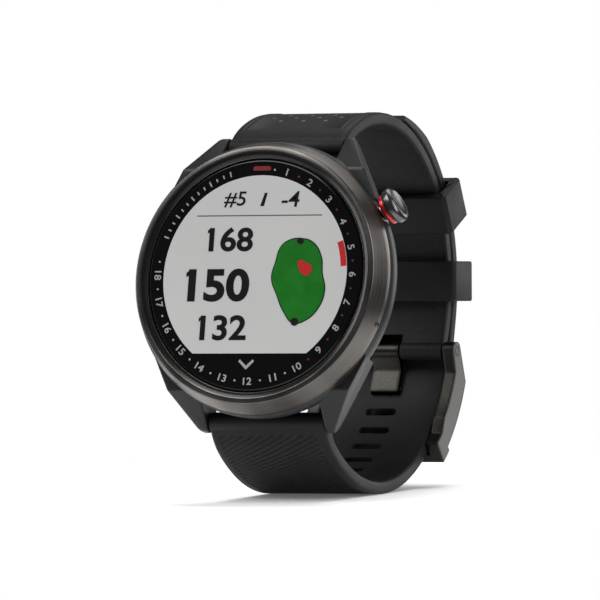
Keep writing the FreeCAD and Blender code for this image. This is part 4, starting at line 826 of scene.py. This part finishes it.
stageLook = {"tilt": 12.5, "clear": 0.09, "soft": 0.05}
tilt = math.radians(stageLook["tilt"])
floorNormal = Vector((0, -math.sin(tilt), math.cos(tilt)))
lowestReach = min((vert.co.dot(floorNormal) for vert in lowerPiece.data.vertices))
floorBm = bmesh.new()
bmesh.ops.create_grid(floorBm, x_segments=8, y_segments=8, size=0.4)
turnFloor = floorNormal.to_track_quat("Z", "Y").to_matrix().to_4x4()
bmesh.ops.transform(floorBm, matrix=Matrix.Translation(floorNormal * (lowestReach - 0.00002)) @ turnFloor,
                    verts=floorBm.verts)
floorMesh = bpy.data.meshes.new("floor")
floorBm.to_mesh(floorMesh)
floorBm.free()
floor = bpy.data.objects.new("floor", floorMesh)
bpy.context.scene.collection.objects.link(floor)
floorMaterial = bpy.data.materials.new("paleFloor")
floorMaterial.use_nodes = True
tree = floorMaterial.node_tree
tree.nodes.clear()
output = tree.nodes.new("ShaderNodeOutputMaterial")
pale = tree.nodes.new("ShaderNodeBsdfDiffuse")
pale.inputs["Color"].default_value = (0.93, 0.93, 0.93, 1)
glowing = tree.nodes.new("ShaderNodeEmission")
glowing.inputs["Color"].default_value = (1, 1, 1, 1)
glowing.inputs["Strength"].default_value = 0.1
together = tree.nodes.new("ShaderNodeAddShader")
clear = tree.nodes.new("ShaderNodeBsdfTransparent")
mixed = tree.nodes.new("ShaderNodeMixShader")
place = tree.nodes.new("ShaderNodeTexCoord").outputs["Object"]
far = tree.nodes.new("ShaderNodeVectorMath")
far.operation = "LENGTH"
tree.links.new(place, far.inputs[0])
fade = spread(tree.nodes, tree.links, far.outputs["Value"], 0, 1, 0.06, 0.11)
backside = tree.nodes.new("ShaderNodeNewGeometry").outputs["Backfacing"]
either = tree.nodes.new("ShaderNodeMath")
either.operation = "MAXIMUM"
tree.links.new(fade, either.inputs[0])
tree.links.new(backside, either.inputs[1])
tree.links.new(pale.outputs[0], together.inputs[0])
tree.links.new(glowing.outputs[0], together.inputs[1])
tree.links.new(either.outputs[0], mixed.inputs[0])
tree.links.new(together.outputs[0], mixed.inputs[1])
tree.links.new(clear.outputs[0], mixed.inputs[2])
tree.links.new(mixed.outputs[0], output.inputs["Surface"])
floorMesh.materials.append(floorMaterial)

world = bpy.data.worlds.new("studio")
bpy.context.scene.world = world
world.use_nodes = True
tree = world.node_tree
tree.nodes.clear()
worldOut = tree.nodes.new("ShaderNodeOutputWorld")
seen = tree.nodes.new("ShaderNodeBackground")
seen.inputs["Color"].default_value = (1, 1, 1, 1)
seen.inputs["Strength"].default_value = 1.0
fill = tree.nodes.new("ShaderNodeBackground")
fill.inputs["Color"].default_value = (0.9, 0.93, 1, 1)
fill.inputs["Strength"].default_value = 0.13
pick = tree.nodes.new("ShaderNodeMixShader")
tree.links.new(tree.nodes.new("ShaderNodeLightPath").outputs["Is Camera Ray"], pick.inputs[0])
tree.links.new(fill.outputs[0], pick.inputs[1])
tree.links.new(seen.outputs[0], pick.inputs[2])
tree.links.new(pick.outputs[0], worldOut.inputs["Surface"])


def softbox(name, place, aim, width, height, power):
    light = bpy.data.lights.new(name, "AREA")
    light.shape = "RECTANGLE"
    light.size = width
    light.size_y = height
    light.energy = power
    holder = bpy.data.objects.new(name, light)
    bpy.context.scene.collection.objects.link(holder)
    holder.location = place
    holder.rotation_mode = "QUATERNION"
    holder.rotation_quaternion = (Vector(aim) - Vector(place)).to_track_quat("-Z", "Y")
    return holder


middle = (0, -0.01, 0)
softbox("keyLight", (-0.16, -0.34, 0.34), middle, 0.3, 0.3, 1.5)
softbox("rightLight", (0.42, -0.1, 0.16), middle, 0.16, 0.4, 0.8)
softbox("leftLight", (-0.4, -0.12, 0.02), middle, 0.14, 0.4, 0.6)
softbox("topLight", (0.02, 0.12, 0.45), middle, 0.4, 0.25, 0.75)
softbox("backLight", (0.25, 0.4, 0.15), middle, 0.3, 0.3, 0.7)

floorLamp = bpy.data.collections.new("floorOnly")
bpy.context.scene.collection.children.link(floorLamp)
floorLamp.objects.link(floor)
lamp = softbox("floorLight", (-0.03, 0.02, 0.5), (0, 0, -0.03), 0.3, 0.3, 2.2)
lamp.light_linking.receiver_collection = floorLamp

right = Vector((0.9044, 0.4209, 0.0697))
up = Vector((0.0046, -0.1728, 0.9849))
back = Vector((0.4267, -0.8905, -0.1582))
cameraData = bpy.data.cameras.new("camera")
cameraData.lens = 550.2
cameraData.sensor_width = 36
camera = bpy.data.objects.new("camera", cameraData)
bpy.context.scene.collection.objects.link(camera)
camera.location = Vector((0, glassY * mm, 0)) + right * 7.05 * mm - up * 3.92 * mm + back * 1.4286
camera.rotation_mode = "QUATERNION"
camera.rotation_quaternion = Matrix((right, up, back)).transposed().to_quaternion()
cameraData.clip_start = 0.05
cameraData.clip_end = 20
bpy.context.scene.camera = camera
bpy.context.scene.view_settings.view_transform = "Standard"

print("scene ready")
